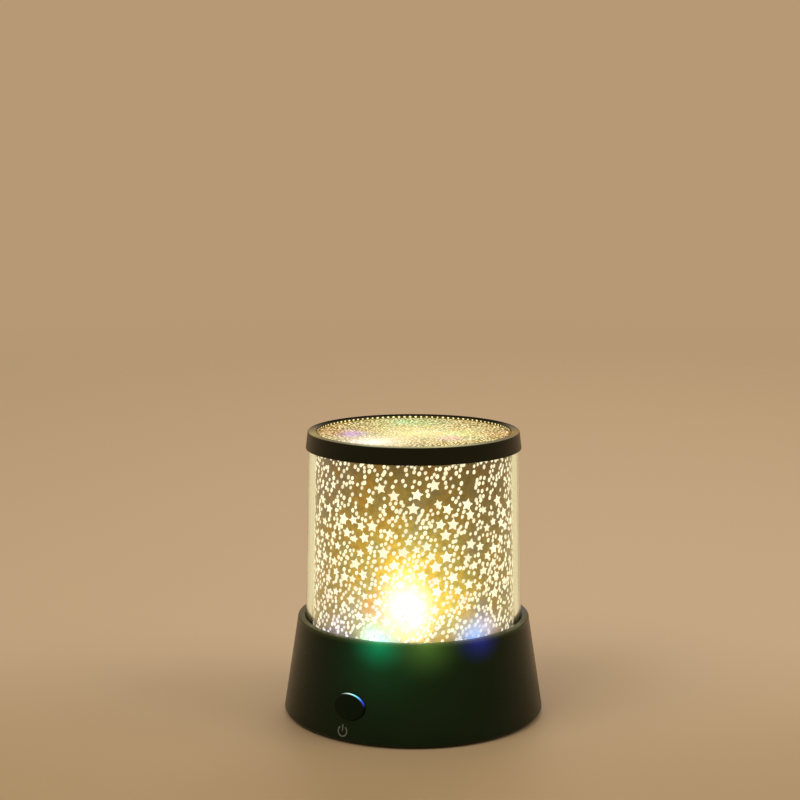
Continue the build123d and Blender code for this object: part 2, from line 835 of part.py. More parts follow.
# ================================================================ mode button and switch
def make_mode_button():
    crown_top = base_radius(base_bottom) + button_proud
    with BuildPart() as crown:
        with BuildSketch(Plane.XZ):
            with BuildLine():
                Polyline(
                    (0, base_bottom),
                    (crown_top, base_bottom),
                    (ledge_radius + button_proud, ledge_height),
                    (0, ledge_height),
                    close=True,
                )
            make_face()
        revolve(axis=Axis.Z)
    with BuildPart() as mode_button:
        with BuildSketch(button_plane.offset(collar_end)):
            Ellipse(button_width / 2, button_tall / 2)
        extrude(amount=collar_depth + 4 * button_proud)
        add(crown.part, mode=Mode.INTERSECT)
        rim = mode_button.faces().sort_by(Axis(button_plane.origin, button_plane.z_dir))[-1].edges()
        fillet(rim, button_edge_round)
        with BuildSketch(button_plane.offset(collar_end)):
            Ellipse(button_width / 2 + button_flange_rim, button_tall / 2 + button_flange_rim)
        extrude(amount=-button_flange)
        with BuildSketch(button_plane.offset(collar_end - button_flange)):
            Circle(button_post_diameter / 2)
        extrude(amount=-button_post)
    mode_button.part.label = "mode_button"
    export_step(mode_button.part, "parts/mode_button.step")


def make_switch_plunger():
    with BuildPart() as switch_plunger:
        with BuildSketch(button_plane.offset(plunger_front)):
            Circle(plunger_diameter / 2)
        extrude(amount=-(plunger_proud + plunger_hidden))
    switch_plunger.part.label = "switch_plunger"
    export_step(switch_plunger.part, "parts/switch_plunger.step")


def make_switch_body():
    pocket = plunger_hidden + button_travel + plunger_play
    with BuildPart() as switch_body:
        with BuildSketch(button_plane.offset(switch_front)):
            RectangleRounded(switch_size, switch_size, 0.8)
        extrude(amount=-switch_depth)
        with BuildSketch(button_plane.offset(switch_front)):
            Circle(plunger_diameter / 2 + plunger_play)
        extrude(amount=-pocket, mode=Mode.SUBTRACT)
    switch_body.part.label = "switch_body"
    export_step(switch_body.part, "parts/switch_body.step")


def make_switch_board():
    with BuildPart() as switch_board:
        with BuildSketch(button_plane.offset(switch_back)):
            Rectangle(switch_board_width, switch_board_height)
        extrude(amount=-switch_board_thickness)
    switch_board.part.label = "switch_board"
    export_step(switch_board.part, "parts/switch_board.step")


# ================================================================ power inlet
def make_dc_jack():
    with BuildPart() as dc_jack:
        with BuildSketch(jack_plane.offset(pad_face)):
            RectangleRounded(*jack_body, 0.6)
        extrude(amount=-jack_depth)
        with BuildSketch(jack_plane.offset(pad_face)):
            Circle(jack_nose_diameter / 2)
        extrude(amount=nose_front - pad_face)
        with BuildSketch(jack_plane.offset(nose_front)):
            Circle(jack_bore / 2)
        extrude(amount=-jack_bore_depth, mode=Mode.SUBTRACT)
    dc_jack.part.label = "dc_jack"
    export_step(dc_jack.part, "parts/dc_jack.step")


def make_dc_jack_pin():
    with BuildPart() as dc_jack_pin:
        with BuildSketch(jack_plane.offset(bore_floor)):
            Circle(jack_pin_diameter / 2)
        extrude(amount=jack_bore_depth - jack_pin_inset)
        fillet(dc_jack_pin.faces().sort_by(Axis.Y)[-1].edges(), jack_pin_diameter / 5)
    dc_jack_pin.part.label = "dc_jack_pin"
    export_step(dc_jack_pin.part, "parts/dc_jack_pin.step")


# ================================================================ wires
def arc_radii(points):
    """The arc at each corner: a share of the shorter run beside it."""
    radii = []
    for before, corner, after in zip(points, points[1:], points[2:]):
        first = Vector(*corner) - Vector(*before)
        second = Vector(*after) - Vector(*corner)
        turn = radians(first.get_angle(second))
        radii.append(wire_arc_share * min(first.length, second.length) / tan(turn / 2))
    return radii


def make_wire(name, points):
    """A wire of straight runs joined by tangent arcs."""
    with BuildPart() as wire:
        with BuildLine():
            route = FilletPolyline(*points, radius=arc_radii(points))
        with BuildSketch(Plane(origin=route @ 0, z_dir=route % 0)):
            Circle(wire_diameter / 2)
        sweep(path=route)
    wire.part.label = name
    export_step(wire.part, f"parts/{name}.step")


def make_lead(name, start, landing):
    """A lead that rises from its start, runs level and ends under the LED board."""
    run_z = board_under - wire_run_depth
    make_wire(name, [start, (start[0], start[1], run_z), (*landing, run_z), (*landing, board_under)])


def make_wires():
    tail_top = contact_bottom + contact_height + contact_tail
    tail_y = (box_inner_length - contact_sheet) / 2
    make_lead("battery_lead_red", (cell_pitch, -tail_y, tail_top), battery_landings[0])
    make_lead("battery_lead_black", (-cell_pitch, tail_y, tail_top), battery_landings[1])
    board_middle = switch_board_back + switch_board_thickness / 2
    board_edge = switch_board_bottom + switch_board_height
    spread = degrees(asin(switch_lead_pitch / 2 / board_middle))
    outer = hypot(board_middle, switch_lead_pitch / 2)
    for side, name, landing in zip((-1, 1), ("left", "right"), switch_landings):
        start = place(outer, button_angle + side * spread)
        make_lead(f"switch_lead_{name}", (*start, board_edge), landing)
    lug_y = pad_face - jack_depth + jack_lug_inset
    lug_top = jack_height + jack_body[1] / 2
    for side, name, landing in zip((1, -1), ("red", "black"), jack_landings):
        make_lead(f"jack_lead_{name}", (side * jack_lead_pitch / 2, lug_y, lug_top), landing)


# ================================================================ shade
def make_clear_shade():
    """The clear moulded tube, closed by a top plate and stepped in where the cap ring sits."""
    with BuildPart() as clear_shade:
        with BuildSketch(Plane.XZ):
            with BuildLine():
                Polyline(
                    (0, plate_under),
                    (0, disc_under),
                    (neck_radius, disc_under),
                    (neck_radius, cap_bottom),
                    (tube_radius(cap_bottom), cap_bottom),
                    (tube_radius(seat_z), seat_z),
                    (tube_inner_radius(seat_z), seat_z),
                    (tube_inner_radius(plate_under), plate_under),
                    close=True,
                )
            make_face()
        revolve(axis=Axis.Z)
    clear_shade.part.label = "clear_shade"
    export_step(clear_shade.part, "parts/clear_shade.step")


def make_cap_ring():
    """The black ring that holds the film disc on the shade's top plate."""
    with BuildPart() as cap_ring:
        with BuildSketch(Plane.XZ):
            with BuildLine():
                Polyline(
                    (cap_bore_radius, cap_bottom),
                    (cap_skirt_radius, cap_bottom),
                    (cap_top_radius, overall_height),
                    (cap_lip_radius, overall_height),
                    (cap_lip_radius, lip_under),
                    (cap_bore_radius, lip_under),
                    close=True,
                )
            make_face()
        revolve(axis=Axis.Z)
        rims = cap_ring.edges().filter_by(GeomType.CIRCLE).group_by(Axis.Z)[-1]
        fillet(rims, cap_edge_round)
    cap_ring.part.label = "cap_ring"
    export_step(cap_ring.part, "parts/cap_ring.step")


def make_star_film_sleeve():
    top = plate_under - film_end_gap
    bottom = seat_z + film_end_gap
    with BuildPart() as star_film_sleeve:
        with BuildSketch(Plane.XZ):
            with BuildLine():
                Polyline(
                    (film_radius(bottom), bottom),
                    (film_radius(top), top),
                    (film_radius(top) - film_thickness, top),
                    (film_radius(bottom) - film_thickness, bottom),
                    close=True,
                )
            make_face()
        revolve(axis=Axis.Z)
    star_film_sleeve.part.label = "star_film_sleeve"
    export_step(star_film_sleeve.part, "parts/star_film_sleeve.step")


def make_star_film_disc():
    with BuildPart() as star_film_disc:
        with BuildSketch(Plane.XY.offset(disc_under)):
            Circle(neck_radius - disc_play)
        extrude(amount=film_thickness)
    star_film_disc.part.label = "star_film_disc"
    export_step(star_film_disc.part, "parts/star_film_disc.step")


# ================================================================ write every piece
os.makedirs("parts", exist_ok=True)

make_base_shell()
make_reflector_disc()
make_led_board()
make_board_screws()
make_led("centre_led", led_places[0], centre_spacer)
for colour, led_place in zip(("green", "blue", "red"), colour_led_places):
    make_led(f"{colour}_led", led_place, colour_spacer)
make_spacers("centre_led_spacer", led_places[:1], centre_spacer)
make_spacers("colour_led_spacers", colour_led_places, colour_spacer)
make_led_resistors()
make_controller_chip()
make_bottom_cover()
make_cover_screws()
make_rubber_feet()
for cell_index, cell_side in enumerate(("left", "middle", "right")):
    make_cell(f"aa_cell_{cell_side}", cell_index)
make_contact("contact_negative", [0], 1, True)
make_contact("contact_bridge_front", [0, 1], -1, False)
make_contact("contact_bridge_rear", [1, 2], 1, False)
make_contact("contact_positive", [2], -1, True)
make_battery_door()
make_door_screw()
make_mode_button()
make_switch_plunger()
make_switch_body()
make_switch_board()
make_dc_jack()
make_dc_jack_pin()
make_wires()
make_clear_shade()
make_cap_ring()
make_star_film_sleeve()
make_star_film_disc()
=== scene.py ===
# %% [markdown]
# # Star night light projector: finishes and fine detail
#
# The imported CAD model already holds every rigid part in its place. This lesson leaves those parts where
# they are, gives each one the finish of its real material, and adds what is too thin or too fine for CAD:
# the rolled star film, its lit windows and the printed mark under the button. All lengths are in metres.

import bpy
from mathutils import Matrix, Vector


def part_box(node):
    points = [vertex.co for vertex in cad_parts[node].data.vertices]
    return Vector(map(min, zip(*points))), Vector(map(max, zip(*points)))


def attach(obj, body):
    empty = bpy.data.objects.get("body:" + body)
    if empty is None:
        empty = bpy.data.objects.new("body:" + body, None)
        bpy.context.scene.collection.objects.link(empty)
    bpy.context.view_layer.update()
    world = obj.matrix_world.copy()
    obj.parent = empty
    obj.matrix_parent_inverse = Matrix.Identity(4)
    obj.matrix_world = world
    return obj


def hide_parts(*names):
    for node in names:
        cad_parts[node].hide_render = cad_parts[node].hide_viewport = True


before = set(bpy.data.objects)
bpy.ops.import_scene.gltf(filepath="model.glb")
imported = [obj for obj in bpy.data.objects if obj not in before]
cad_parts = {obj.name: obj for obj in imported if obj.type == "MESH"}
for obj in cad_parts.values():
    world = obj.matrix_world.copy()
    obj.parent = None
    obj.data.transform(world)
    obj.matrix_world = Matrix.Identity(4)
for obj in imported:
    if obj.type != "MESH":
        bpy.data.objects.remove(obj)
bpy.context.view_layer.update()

# %% Modules for the cells below
import math
import random

import bmesh
import bpy
from mathutils import Matrix, Vector, noise

print("nodes in the frame:", len(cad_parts))

# %% [markdown]
# ## Camera
#
# The lamp is seen from a little above the table through a long lens, so that its round rims show as
# narrow ellipses. The camera could be aimed with a Track To constraint. Typed numbers are used instead,
# because they stay the same when a part is added.

# %% Camera
camera_data = bpy.data.cameras.new("camera")
camera_data.lens = 78.13
camera_data.sensor_width = 36.0
camera_data.clip_start = 0.01
camera_place = (-0.005974, -0.754494, 0.248625)
camera_tilt = math.radians(81.77)
camera = bpy.data.objects.new("camera", camera_data)
camera.location = camera_place
camera.rotation_euler = (camera_tilt, 0.0, 0.0)
bpy.context.collection.objects.link(camera)
bpy.context.scene.camera = camera
print("camera looks from", tuple(round(value, 3) for value in camera_place))


# %% [markdown]
# ## Small helpers for node trees
#
# A material is a tree of nodes. Adding a node, setting it and joining it takes three or four lines each
# time, so these helpers do it in one. A plain number is set on the socket, and the output of another node
# is linked to it.

# %% Node helpers
def linear(red, green, blue):
    """A colour as it looks on a screen, 0 to 255, turned into the linear values that nodes use."""
    def one(value):
        value /= 255
        return value / 12.92 if value <= 0.04045 else ((value + 0.055) / 1.055) ** 2.4
    return (one(red), one(green), one(blue), 1.0)


def feed(tree, socket, value):
    """Sets a plain value on a socket, or links another node's output to it."""
    if isinstance(value, bpy.types.NodeSocket):
        tree.links.new(value, socket)
    else:
        socket.default_value = value


def wire(tree, node, inputs):
    """Feeds several inputs of a node, each given by its name or its number."""
    for name, value in inputs.items():
        feed(tree, node.inputs[name], value)


def put(tree, kind, inputs=None, **settings):
    """Adds a shader node, sets its options and feeds its inputs."""
    made = tree.nodes.new("ShaderNode" + kind)
    for name, value in settings.items():
        setattr(made, name, value)
    wire(tree, made, inputs or {})
    return made


print("a screen grey of 128 is", round(linear(128, 128, 128)[0], 3), "in the nodes")


# %% Helpers for values and places
def maths(tree, operation, first, second=0.0, clamp=False):
    return put(tree, "Math", {0: first, 1: second}, operation=operation, use_clamp=clamp).outputs[0]


def vectors(tree, operation, first, second=(0.0, 0.0, 0.0)):
    """A step of vector maths; a length or a dot product comes out as a plain value."""
    step = put(tree, "VectorMath", {0: first, 1: second}, operation=operation)
    return step.outputs["Value" if operation in ("LENGTH", "DOT_PRODUCT") else "Vector"]


def spread(tree, value, low, high, to_low=0.0, to_high=1.0, curve="LINEAR"):
    """Stretches a value from one range to another and stops it at the ends."""
    inputs = {"Value": value, "From Min": low, "From Max": high, "To Min": to_low, "To Max": to_high}
    return put(tree, "MapRange", inputs, interpolation_type=curve).outputs["Result"]


def object_place(tree):
    return tree.nodes.new("ShaderNodeTexCoord").outputs["Object"]


def object_axis(tree, axis):
    """One coordinate of the place on the piece: X to the right, Y to the back or Z up."""
    return put(tree, "SeparateXYZ", {0: object_place(tree)}).outputs[axis]


def looks_up(tree, low, high):
    """0 where the surface looks sideways and 1 where it looks straight up."""
    facing = tree.nodes.new("ShaderNodeTexCoord").outputs["Normal"]
    return spread(tree, put(tree, "SeparateXYZ", {0: facing}).outputs["Z"], low, high)


def speckle(tree, scale, detail, **more):
    """Noise on the object's own coordinates; the scale is in cells per metre."""
    inputs = {"Vector": object_place(tree), "Scale": scale, "Detail": detail, **more}
    return put(tree, "TexNoise", inputs).outputs["Fac"]


def bump(tree, height, strength, distance):
    step = put(tree, "Bump", {"Height": height, "Strength": strength, "Distance": distance})
    return step.outputs["Normal"]


print("helpers for values ready")

# %% Helpers for colours
unlit = (0.0, 0.0, 0.0, 1.0)


def mixed(tree, amount, low, high, blend="MIX"):
    step = put(tree, "Mix", {0: amount, 6: low, 7: high}, data_type="RGBA", blend_type=blend)
    return step.outputs[2]


def dimmed(tree, colour, level):
    """A colour times a plain value."""
    grey = put(tree, "CombineColor", {0: level, 1: level, 2: level}).outputs[0]
    return mixed(tree, 1.0, colour, grey, blend="MULTIPLY")


def ramp(tree, value, stops, interpolation="LINEAR"):
    """A colour ramp; each stop is a position and a colour."""
    step = put(tree, "ValToRGB", {0: value})
    step.color_ramp.interpolation = interpolation
    points = step.color_ramp.elements
    while len(points) < len(stops):
        points.new(0.5)
    for point, (position, colour) in zip(points, stops):
        point.position = position
        point.color = colour
    return step.outputs["Color"]


print("helpers for colours ready")


# %% [markdown]
# ## Material and group helpers
#
# Each new material starts with one Principled BSDF. An effect that several materials share goes into a
# node group with named inputs and outputs, so that it is built once and every material sets its own values.

# %% Material helpers
def new_material(name):
    """A material with its node tree and its Principled BSDF."""
    material = bpy.data.materials.new(name)
    material.use_nodes = True
    tree = material.node_tree
    return material, tree, tree.nodes["Principled BSDF"]


def new_group(name, inputs, outputs):
    """An empty node group with named sockets."""
    group = bpy.data.node_groups.new(name, "ShaderNodeTree")
    for label, kind, value in inputs:
        socket = group.interface.new_socket(name=label, in_out="INPUT", socket_type="NodeSocket" + kind)
        socket.default_value = value
    for label, kind in outputs:
        group.interface.new_socket(name=label, in_out="OUTPUT", socket_type="NodeSocket" + kind)
    return group, group.nodes.new("NodeGroupInput").outputs, group.nodes.new("NodeGroupOutput").inputs


def use_group(tree, group, **inputs):
    """Places a group in a tree; a space in an input's name is typed as an underscore."""
    made = put(tree, "Group", node_tree=group)
    wire(tree, made, {name.replace("_", " "): value for name, value in inputs.items()})
    return made.outputs


def finish_nodes(material, *names):
    """Gives CAD nodes a material through their own slots; their meshes stay as they are."""
    for name in names:
        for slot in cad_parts[name].material_slots:
            slot.material = material
    print(material.name, "on", ", ".join(names))


print("material helpers ready")

# %% [markdown]
# ## Shared effect: moulded grain
#
# Injection-moulded plastic carries the fine spark-eroded texture of its mould, and its gloss changes a
# little from place to place. Two noise textures give that: a very fine one for height and a coarse one
# that varies the roughness. The group puts out plain values, and each material chooses how much it uses.

# %% Moulded grain group
grain_group, given, sent = new_group(
    "moulded_grain",
    [("Grain Scale", "Float", 2600.0), ("Patch Scale", "Float", 55.0)],
    [("Height", "Float"), ("Patches", "Float")],
)
grain_group.links.new(speckle(grain_group, given["Grain Scale"], 2.0), sent["Height"])
coarse = speckle(grain_group, given["Patch Scale"], 4.0)
grain_group.links.new(spread(grain_group, coarse, 0.3, 0.7), sent["Patches"])
print("group sockets:", [socket.name for socket in grain_group.interface.items_tree])

# %% [markdown]
# ## Shared effect: pool of light
#
# Light from an LED leaves a soft round pool on whatever stands beside it. The real pool could be left to
# ray tracing alone, but it would then be noisy and would be missing in a viewer without ray tracing. The
# group measures the distance from a given place and fades to nothing at a given reach. A squash of more
# than 1 along an axis makes the pool narrower along it, and one of less than 1 makes it wider.

# %% Pool of light group
round_pool = (1.0, 1.0, 1.0)
pool_falloff = 2.2
pool_group, given, sent = new_group(
    "pool_of_light",
    [("Place", "Vector", (0.0, 0.0, 0.0)), ("Reach", "Float", 0.02), ("Squash", "Vector", round_pool)],
    [("Mask", "Float")],
)
offset = vectors(pool_group, "SUBTRACT", object_place(pool_group), given["Place"])
far = vectors(pool_group, "LENGTH", vectors(pool_group, "MULTIPLY", offset, given["Squash"]))
share = maths(pool_group, "SUBTRACT", 1.0, maths(pool_group, "DIVIDE", far, given["Reach"]), clamp=True)
pool_group.links.new(maths(pool_group, "POWER", share, pool_falloff), sent["Mask"])
print("pool group nodes:", len(pool_group.nodes))


# %% Adding pools to a colour
def add_light(tree, glow, mask, colour):
    """Adds a colour to a glow as far as a mask lets it."""
    return mixed(tree, 1.0, glow, mixed(tree, mask, unlit, colour), blend="ADD")


def add_pools(tree, glow, pools):
    """Adds pools of light to a glow. Each is a place, a reach, a colour and, if not round, a squash."""
    for pool_place, reach, colour, *squash in pools:
        squash = squash[0] if squash else round_pool
        mask = use_group(tree, pool_group, Place=pool_place, Reach=reach, Squash=squash)["Mask"]
        glow = add_light(tree, glow, mask, (*colour, 1.0))
    return glow


print("pools can be added to a glow")

# %% [markdown]
# ## Shared effect: colour of the light in the shade
#
# A warm white LED stands in the middle and green, blue and red ones stand round it. The light through
# the windows is painted into their emission colour: windows near a coloured LED get its tint, and all the
# others keep the plain warm colour. The windows in the sleeve and those in the top disc use the same field
# of colour, so it is one group. Its first six places are on the sleeve and the others on the disc.

# %% Colour of the light group
light_group, given, sent = new_group(
    "light_in_shade", [("Plain", "Color", linear(255, 244, 208))], [("Colour", "Color")]
)
light = given["Plain"]
for tint_place, tint_reach, tint in (
    ((-0.0125, -0.0430, 0.0400), 0.019, linear(205, 255, 244)),
    ((0.0262, -0.0365, 0.0420), 0.018, linear(216, 220, 255)),
    ((-0.0330, -0.0300, 0.0440), 0.020, linear(244, 240, 246)),
    ((-0.0370, -0.0240, 0.0600), 0.022, linear(255, 238, 214)),
    ((-0.0041, -0.0442, 0.0565), 0.034, linear(255, 255, 244)),
    ((-0.0120, 0.0420, 0.0420), 0.024, linear(255, 196, 178)),
    ((-0.0279, -0.0035, 0.1250), 0.014, linear(205, 170, 235)),
    ((0.0000, 0.0290, 0.1250), 0.022, linear(214, 255, 190)),
    ((0.0211, -0.0042, 0.1250), 0.016, linear(236, 255, 176)),
    ((0.0156, -0.0147, 0.1250), 0.012, linear(255, 218, 214)),
    ((0.0390, -0.0040, 0.1250), 0.020, linear(255, 214, 150)),
    ((-0.0390, 0.0040, 0.1250), 0.020, linear(255, 214, 156)),
    ((-0.0200, -0.0240, 0.1250), 0.017, linear(255, 255, 246)),
):
    mask = use_group(light_group, pool_group, Place=tint_place, Reach=tint_reach)["Mask"]
    light = mixed(light_group, spread(light_group, mask, 0.0, 0.45), light, tint)
light_group.links.new(light, sent["Colour"])
print("light group nodes:", len(light_group.nodes))


# %% [markdown]
# ## Black moulded housing
#
# The lamp base, its cover, the battery door and the cap ring are black ABS with a satin mould texture. A
# single dark colour would look like a hole, so the colour varies a little, the roughness follows the
# patches and the grain goes through a Bump node into the normal. The default green specular tint and the
# faint green cast of the dark colour are painted light: they stand in for the green light of the LEDs.

# %% Black ABS
def black_abs(name, roughness=(0.25, 0.34), specular=0.22, tint=(0.62, 1.0, 0.66)):
    material, tree, shader = new_material(name)
    grain = use_group(tree, grain_group)
    wire(tree, shader, {
        "Base Color": mixed(tree, grain["Patches"], linear(8, 12, 5), linear(14, 17, 9)),
        "Roughness": spread(tree, grain["Patches"], 0.0, 1.0, *roughness),
        "Normal": bump(tree, grain["Height"], 0.25, 0.00004),
        "Specular IOR Level": specular,
        "Specular Tint": (*tint, 1.0),
    })
    return material, tree, shader


cover_black, _, _ = black_abs("black_abs_cover", (0.42, 0.55), 0.25)
finish_nodes(cover_black, "bottom_cover", "battery_door")

# %% [markdown]
# ## Cap ring
#
# The light of the windows beside it is painted on the flat lip of the ring, in its emission colour:
# brightest at the front and beige at both sides. Its back half lies in the dark and is duller, so there the
# roughness goes up and the specular level goes down, which paints shade into its gloss. Both effects are
# kept to the lip by the part of the normal that looks up. The yellowish specular tint paints the warm
# light of the shade into the ring's gloss.

# %% Cap ring with painted light on its lip
ring_specular, dull_specular, dull_roughness = 0.26, 0.03, 0.55
lip_height = 0.1262
lip_squash = (1.0, 1.0, 7.0)
cap_black, tree, shader = black_abs("black_abs_cap", (0.26, 0.36), ring_specular, (0.95, 1.0, 0.70))
lip = looks_up(tree, 0.6, 0.98)
lip_glow = add_pools(tree, unlit, [
    ((0.0130, -0.0430, lip_height), 0.048, (0.42, 0.40, 0.17), lip_squash),
    ((-0.0170, -0.0415, lip_height), 0.036, (0.28, 0.28, 0.15), lip_squash),
    ((-0.0433, -0.0116, lip_height), 0.032, (0.28, 0.21, 0.06), lip_squash),
    ((0.0441, -0.0078, lip_height), 0.032, (0.20, 0.12, 0.01), lip_squash),
])
dull = maths(tree, "MULTIPLY", spread(tree, object_axis(tree, "Y"), 0.004, 0.024), lip)
plain_roughness = shader.inputs["Roughness"].links[0].from_socket
wire(tree, shader, {
    "Emission Color": dimmed(tree, lip_glow, lip),
    "Emission Strength": 1.0,
    "Roughness": maths(tree, "ADD", plain_roughness, maths(tree, "MULTIPLY", dull, dull_roughness)),
    "Specular IOR Level": spread(tree, dull, 0.0, 1.0, ring_specular, dull_specular),
})
finish_nodes(cap_black, "cap_ring")

# %% [markdown]
# ## Coloured light on the lamp base
#
# Light leaves the foot of the shade and grazes the black cone: green at the front left, olive in the
# middle and violet-blue at the right, with a wide faint green over the whole front and a red one at the
# back. Each is a painted pool of light that adds to the emission colour, while the emission strength stays
# a plain 1 on the shader. The ledge round the shade gets a trace of painted light all the way round.

# %% Base shell with its painted light
base_black, tree, shader = black_abs("black_abs_base")
base_glow = add_pools(tree, unlit, [
    ((-0.0150, -0.0500, 0.0445), 0.017, (0.000, 0.270, 0.100), (1.0, 1.0, 1.1)),
    ((-0.0160, -0.0510, 0.0400), 0.030, (0.000, 0.034, 0.010), (1.0, 1.0, 0.9)),
    ((0.0050, -0.0515, 0.0440), 0.019, (0.068, 0.145, 0.022), (0.9, 1.0, 1.0)),
    ((0.0275, -0.0436, 0.0452), 0.014, (0.016, 0.016, 0.230), (0.9, 1.0, 1.0)),
    ((-0.0040, -0.0540, 0.0320), 0.070, (0.002, 0.011, 0.002), (0.8, 1.0, 1.0)),
    ((0.0510, 0.0070, 0.0436), 0.016, (0.006, 0.006, 0.050), (1.0, 1.0, 0.8)),
    ((-0.0220, 0.0470, 0.0436), 0.026, (0.150, 0.018, 0.010), (1.0, 1.0, 0.8)),
])
ledge = spread(tree, object_axis(tree, "Z"), 0.0415, 0.0437, curve="SMOOTHSTEP")
base_glow = add_light(tree, base_glow, ledge, (0.020, 0.020, 0.004, 1.0))
wire(tree, shader, {"Emission Color": base_glow, "Emission Strength": 1.0})
finish_nodes(base_black, "base_shell")

# %% [markdown]
# ## Mode button
#
# The oval button is glossier than the housing. The light of the shade on the part of its rounded edge
# that looks up is a painted highlight in its emission colour: a thin arc, green-white at the left and blue
# at the right. The object-space normal picks out that part of the edge, and the distance from the lamp's
# axis keeps the arc to the part that stands out of the housing. The green specular tint and the green cast
# of the dark colour are painted green light of the LEDs as well.

# %% Mode button
button_black, tree, shader = new_material("black_gloss_button")
grain = use_group(tree, grain_group, Grain_Scale=3400.0)
arc_direction = (0.29, -0.31, 0.905)
button_normal = tree.nodes.new("ShaderNodeTexCoord").outputs["Normal"]
upward = vectors(tree, "DOT_PRODUCT", button_normal, arc_direction)
edge = spread(tree, upward, 0.56, 0.94, curve="SMOOTHSTEP")
from_lamp_axis = vectors(tree, "LENGTH", vectors(tree, "MULTIPLY", object_place(tree), (1.0, 1.0, 0.0)))
proud = spread(tree, from_lamp_axis, 0.0552, 0.0557)
painted_arc_stops = [
    (0.00, linear(60, 110, 70)),
    (0.50, linear(225, 255, 240)),
    (0.75, linear(120, 225, 235)),
    (1.00, linear(50, 60, 190)),
]
painted_arc_tint = ramp(tree, spread(tree, object_axis(tree, "X"), -0.033, -0.022), painted_arc_stops)
wire(tree, shader, {
    "Base Color": mixed(tree, grain["Patches"], linear(10, 15, 8), linear(15, 20, 12)),
    "Roughness": spread(tree, grain["Patches"], 0.0, 1.0, 0.20, 0.28),
    "Normal": bump(tree, grain["Height"], 0.12, 0.00003),
    "Specular IOR Level": 0.16,
    "Specular Tint": (0.55, 1.0, 0.60, 1.0),
    "Emission Color": mixed(tree, maths(tree, "MULTIPLY", edge, proud), unlit, painted_arc_tint),
    "Emission Strength": 1.6,
})
finish_nodes(button_black, "mode_button")
button_low, button_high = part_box("mode_button")
print("button spans", [round(value, 4) for value in (*button_low, *button_high)])

# %% [markdown]
# ## Clear moulded shade
#
# The shade is clear polystyrene: a Principled BSDF with full transmission, a low fixed roughness and an
# index near 1.5. A faint bump bends the view as moulded walls do. The light of the lamps has to reach the
# film behind it, so rays that only ask whether a lamp is in sight pass through a Transparent BSDF.

# %% Clear shade
clear_plastic, tree, shader = new_material("clear_polystyrene")
waves = speckle(tree, 38.0, 1.0)
wire(tree, shader, {
    "Base Color": mixed(tree, waves, (0.93, 0.92, 0.90, 1.0), (0.98, 0.98, 0.97, 1.0)),
    "Normal": bump(tree, waves, 0.05, 0.0006),
    "Transmission Weight": 1.0,
    "Roughness": 0.03,
    "IOR": 1.49,
})
see_through = put(tree, "BsdfTransparent", {"Color": (0.95, 0.95, 0.94, 1.0)})
let_lamps_in = put(tree, "MixShader", {
    0: put(tree, "LightPath").outputs["Is Shadow Ray"],
    1: shader.outputs[0],
    2: see_through.outputs[0],
})
tree.links.new(let_lamps_in.outputs[0], tree.nodes["Material Output"].inputs["Surface"])
finish_nodes(clear_plastic, "clear_shade")

# %% [markdown]
# ## Rolling a flat drawing into the sleeve
#
# The real sleeve is a flat printed film that is rolled up and slipped into the shade. It is made the same
# way here: everything on it is drawn flat, x along the film, y up and z out of it, and one helper rolls
# it. The radius shrinks with height, because the shade has a moulding draft.

# %% Roll helper
film_low, film_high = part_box("star_film_sleeve")
film_foot, film_head, film_foot_radius = film_low.z, film_high.z, film_high.x
draft_angle = math.radians(1.19)
film_draft = math.tan(draft_angle)
flat_radius = 0.044


def film_radius(height):
    return film_foot_radius - (height - film_foot) * film_draft


def roll(flat):
    """Turns flat x into an angle from the front, keeps y as the height and z as the lift."""
    for vertex in flat.verts:
        angle = vertex.co.x / flat_radius
        radius = film_radius(vertex.co.y) + vertex.co.z
        vertex.co = (radius * math.sin(angle), -radius * math.cos(angle), vertex.co.y)


def settle(flat, name, material, body, smooth=True):
    """Writes a bmesh into an object at the origin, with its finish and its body."""
    mesh = bpy.data.meshes.new(name)
    for face in flat.faces:
        face.smooth = smooth
    flat.to_mesh(mesh)
    flat.free()
    mesh.materials.append(material)
    piece = bpy.data.objects.new(name, mesh)
    bpy.context.collection.objects.link(piece)
    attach(piece, body)
    print(name, "has", len(mesh.polygons), "faces")
    return piece


print("film from", round(film_foot, 4), "to", round(film_head, 4), "radius", round(film_foot_radius, 4))


# %% [markdown]
# ## Film finish
#
# The film is a thin brown-gold metallised sheet. It lets some light through and scatters it forward, so
# the white LED behind it shows as a blurred hot spot from every side: a transmission weight below one
# half with a high roughness does that. The light of the LEDs that comes through the film is also painted
# into its emission colour: strongest beside the LEDs and browner higher up, with reddish and greyish
# blotches. The painted pools of light lie under the blotches, and the painted glares of the LEDs are so
# bright that they lie over them.

# %% Film material
fleck_stops = [
    (0.34, (0.94, 0.86, 2.40, 1.0)),
    (0.45, (1.04, 0.94, 1.20, 1.0)),
    (0.54, (1.24, 0.97, 0.80, 1.0)),
    (0.66, (1.45, 0.97, 0.35, 1.0)),
]


def star_film(name, transmission, stops, pools=(), glares=()):
    """Printed film; the stops colour the light painted into it from the foot of the sleeve to its head."""
    material, tree, shader = new_material(name)
    glow = ramp(tree, spread(tree, object_axis(tree, "Z"), film_foot, film_head), stops)
    flecks = speckle(tree, 125.0, 3.0, Roughness=0.6)
    close = speckle(tree, 430.0, 2.0)
    glow = add_pools(tree, glow, pools)
    glow = mixed(tree, 1.0, glow, ramp(tree, flecks, fleck_stops), blend="MULTIPLY")
    glow = dimmed(tree, glow, spread(tree, close, 0.3, 0.7, 0.72, 1.22))
    wire(tree, shader, {
        "Base Color": mixed(tree, flecks, linear(62, 56, 20), linear(80, 60, 22)),
        "Normal": bump(tree, close, 0.35, 0.0003),
        "Emission Color": add_pools(tree, glow, glares),
        "Emission Strength": 1.0,
        "Transmission Weight": transmission,
        "Specular IOR Level": 0.3,
        "Roughness": 0.72,
        "IOR": 1.22,
    })
    return material


print("film helper ready, with", len(fleck_stops), "tints of blotches")
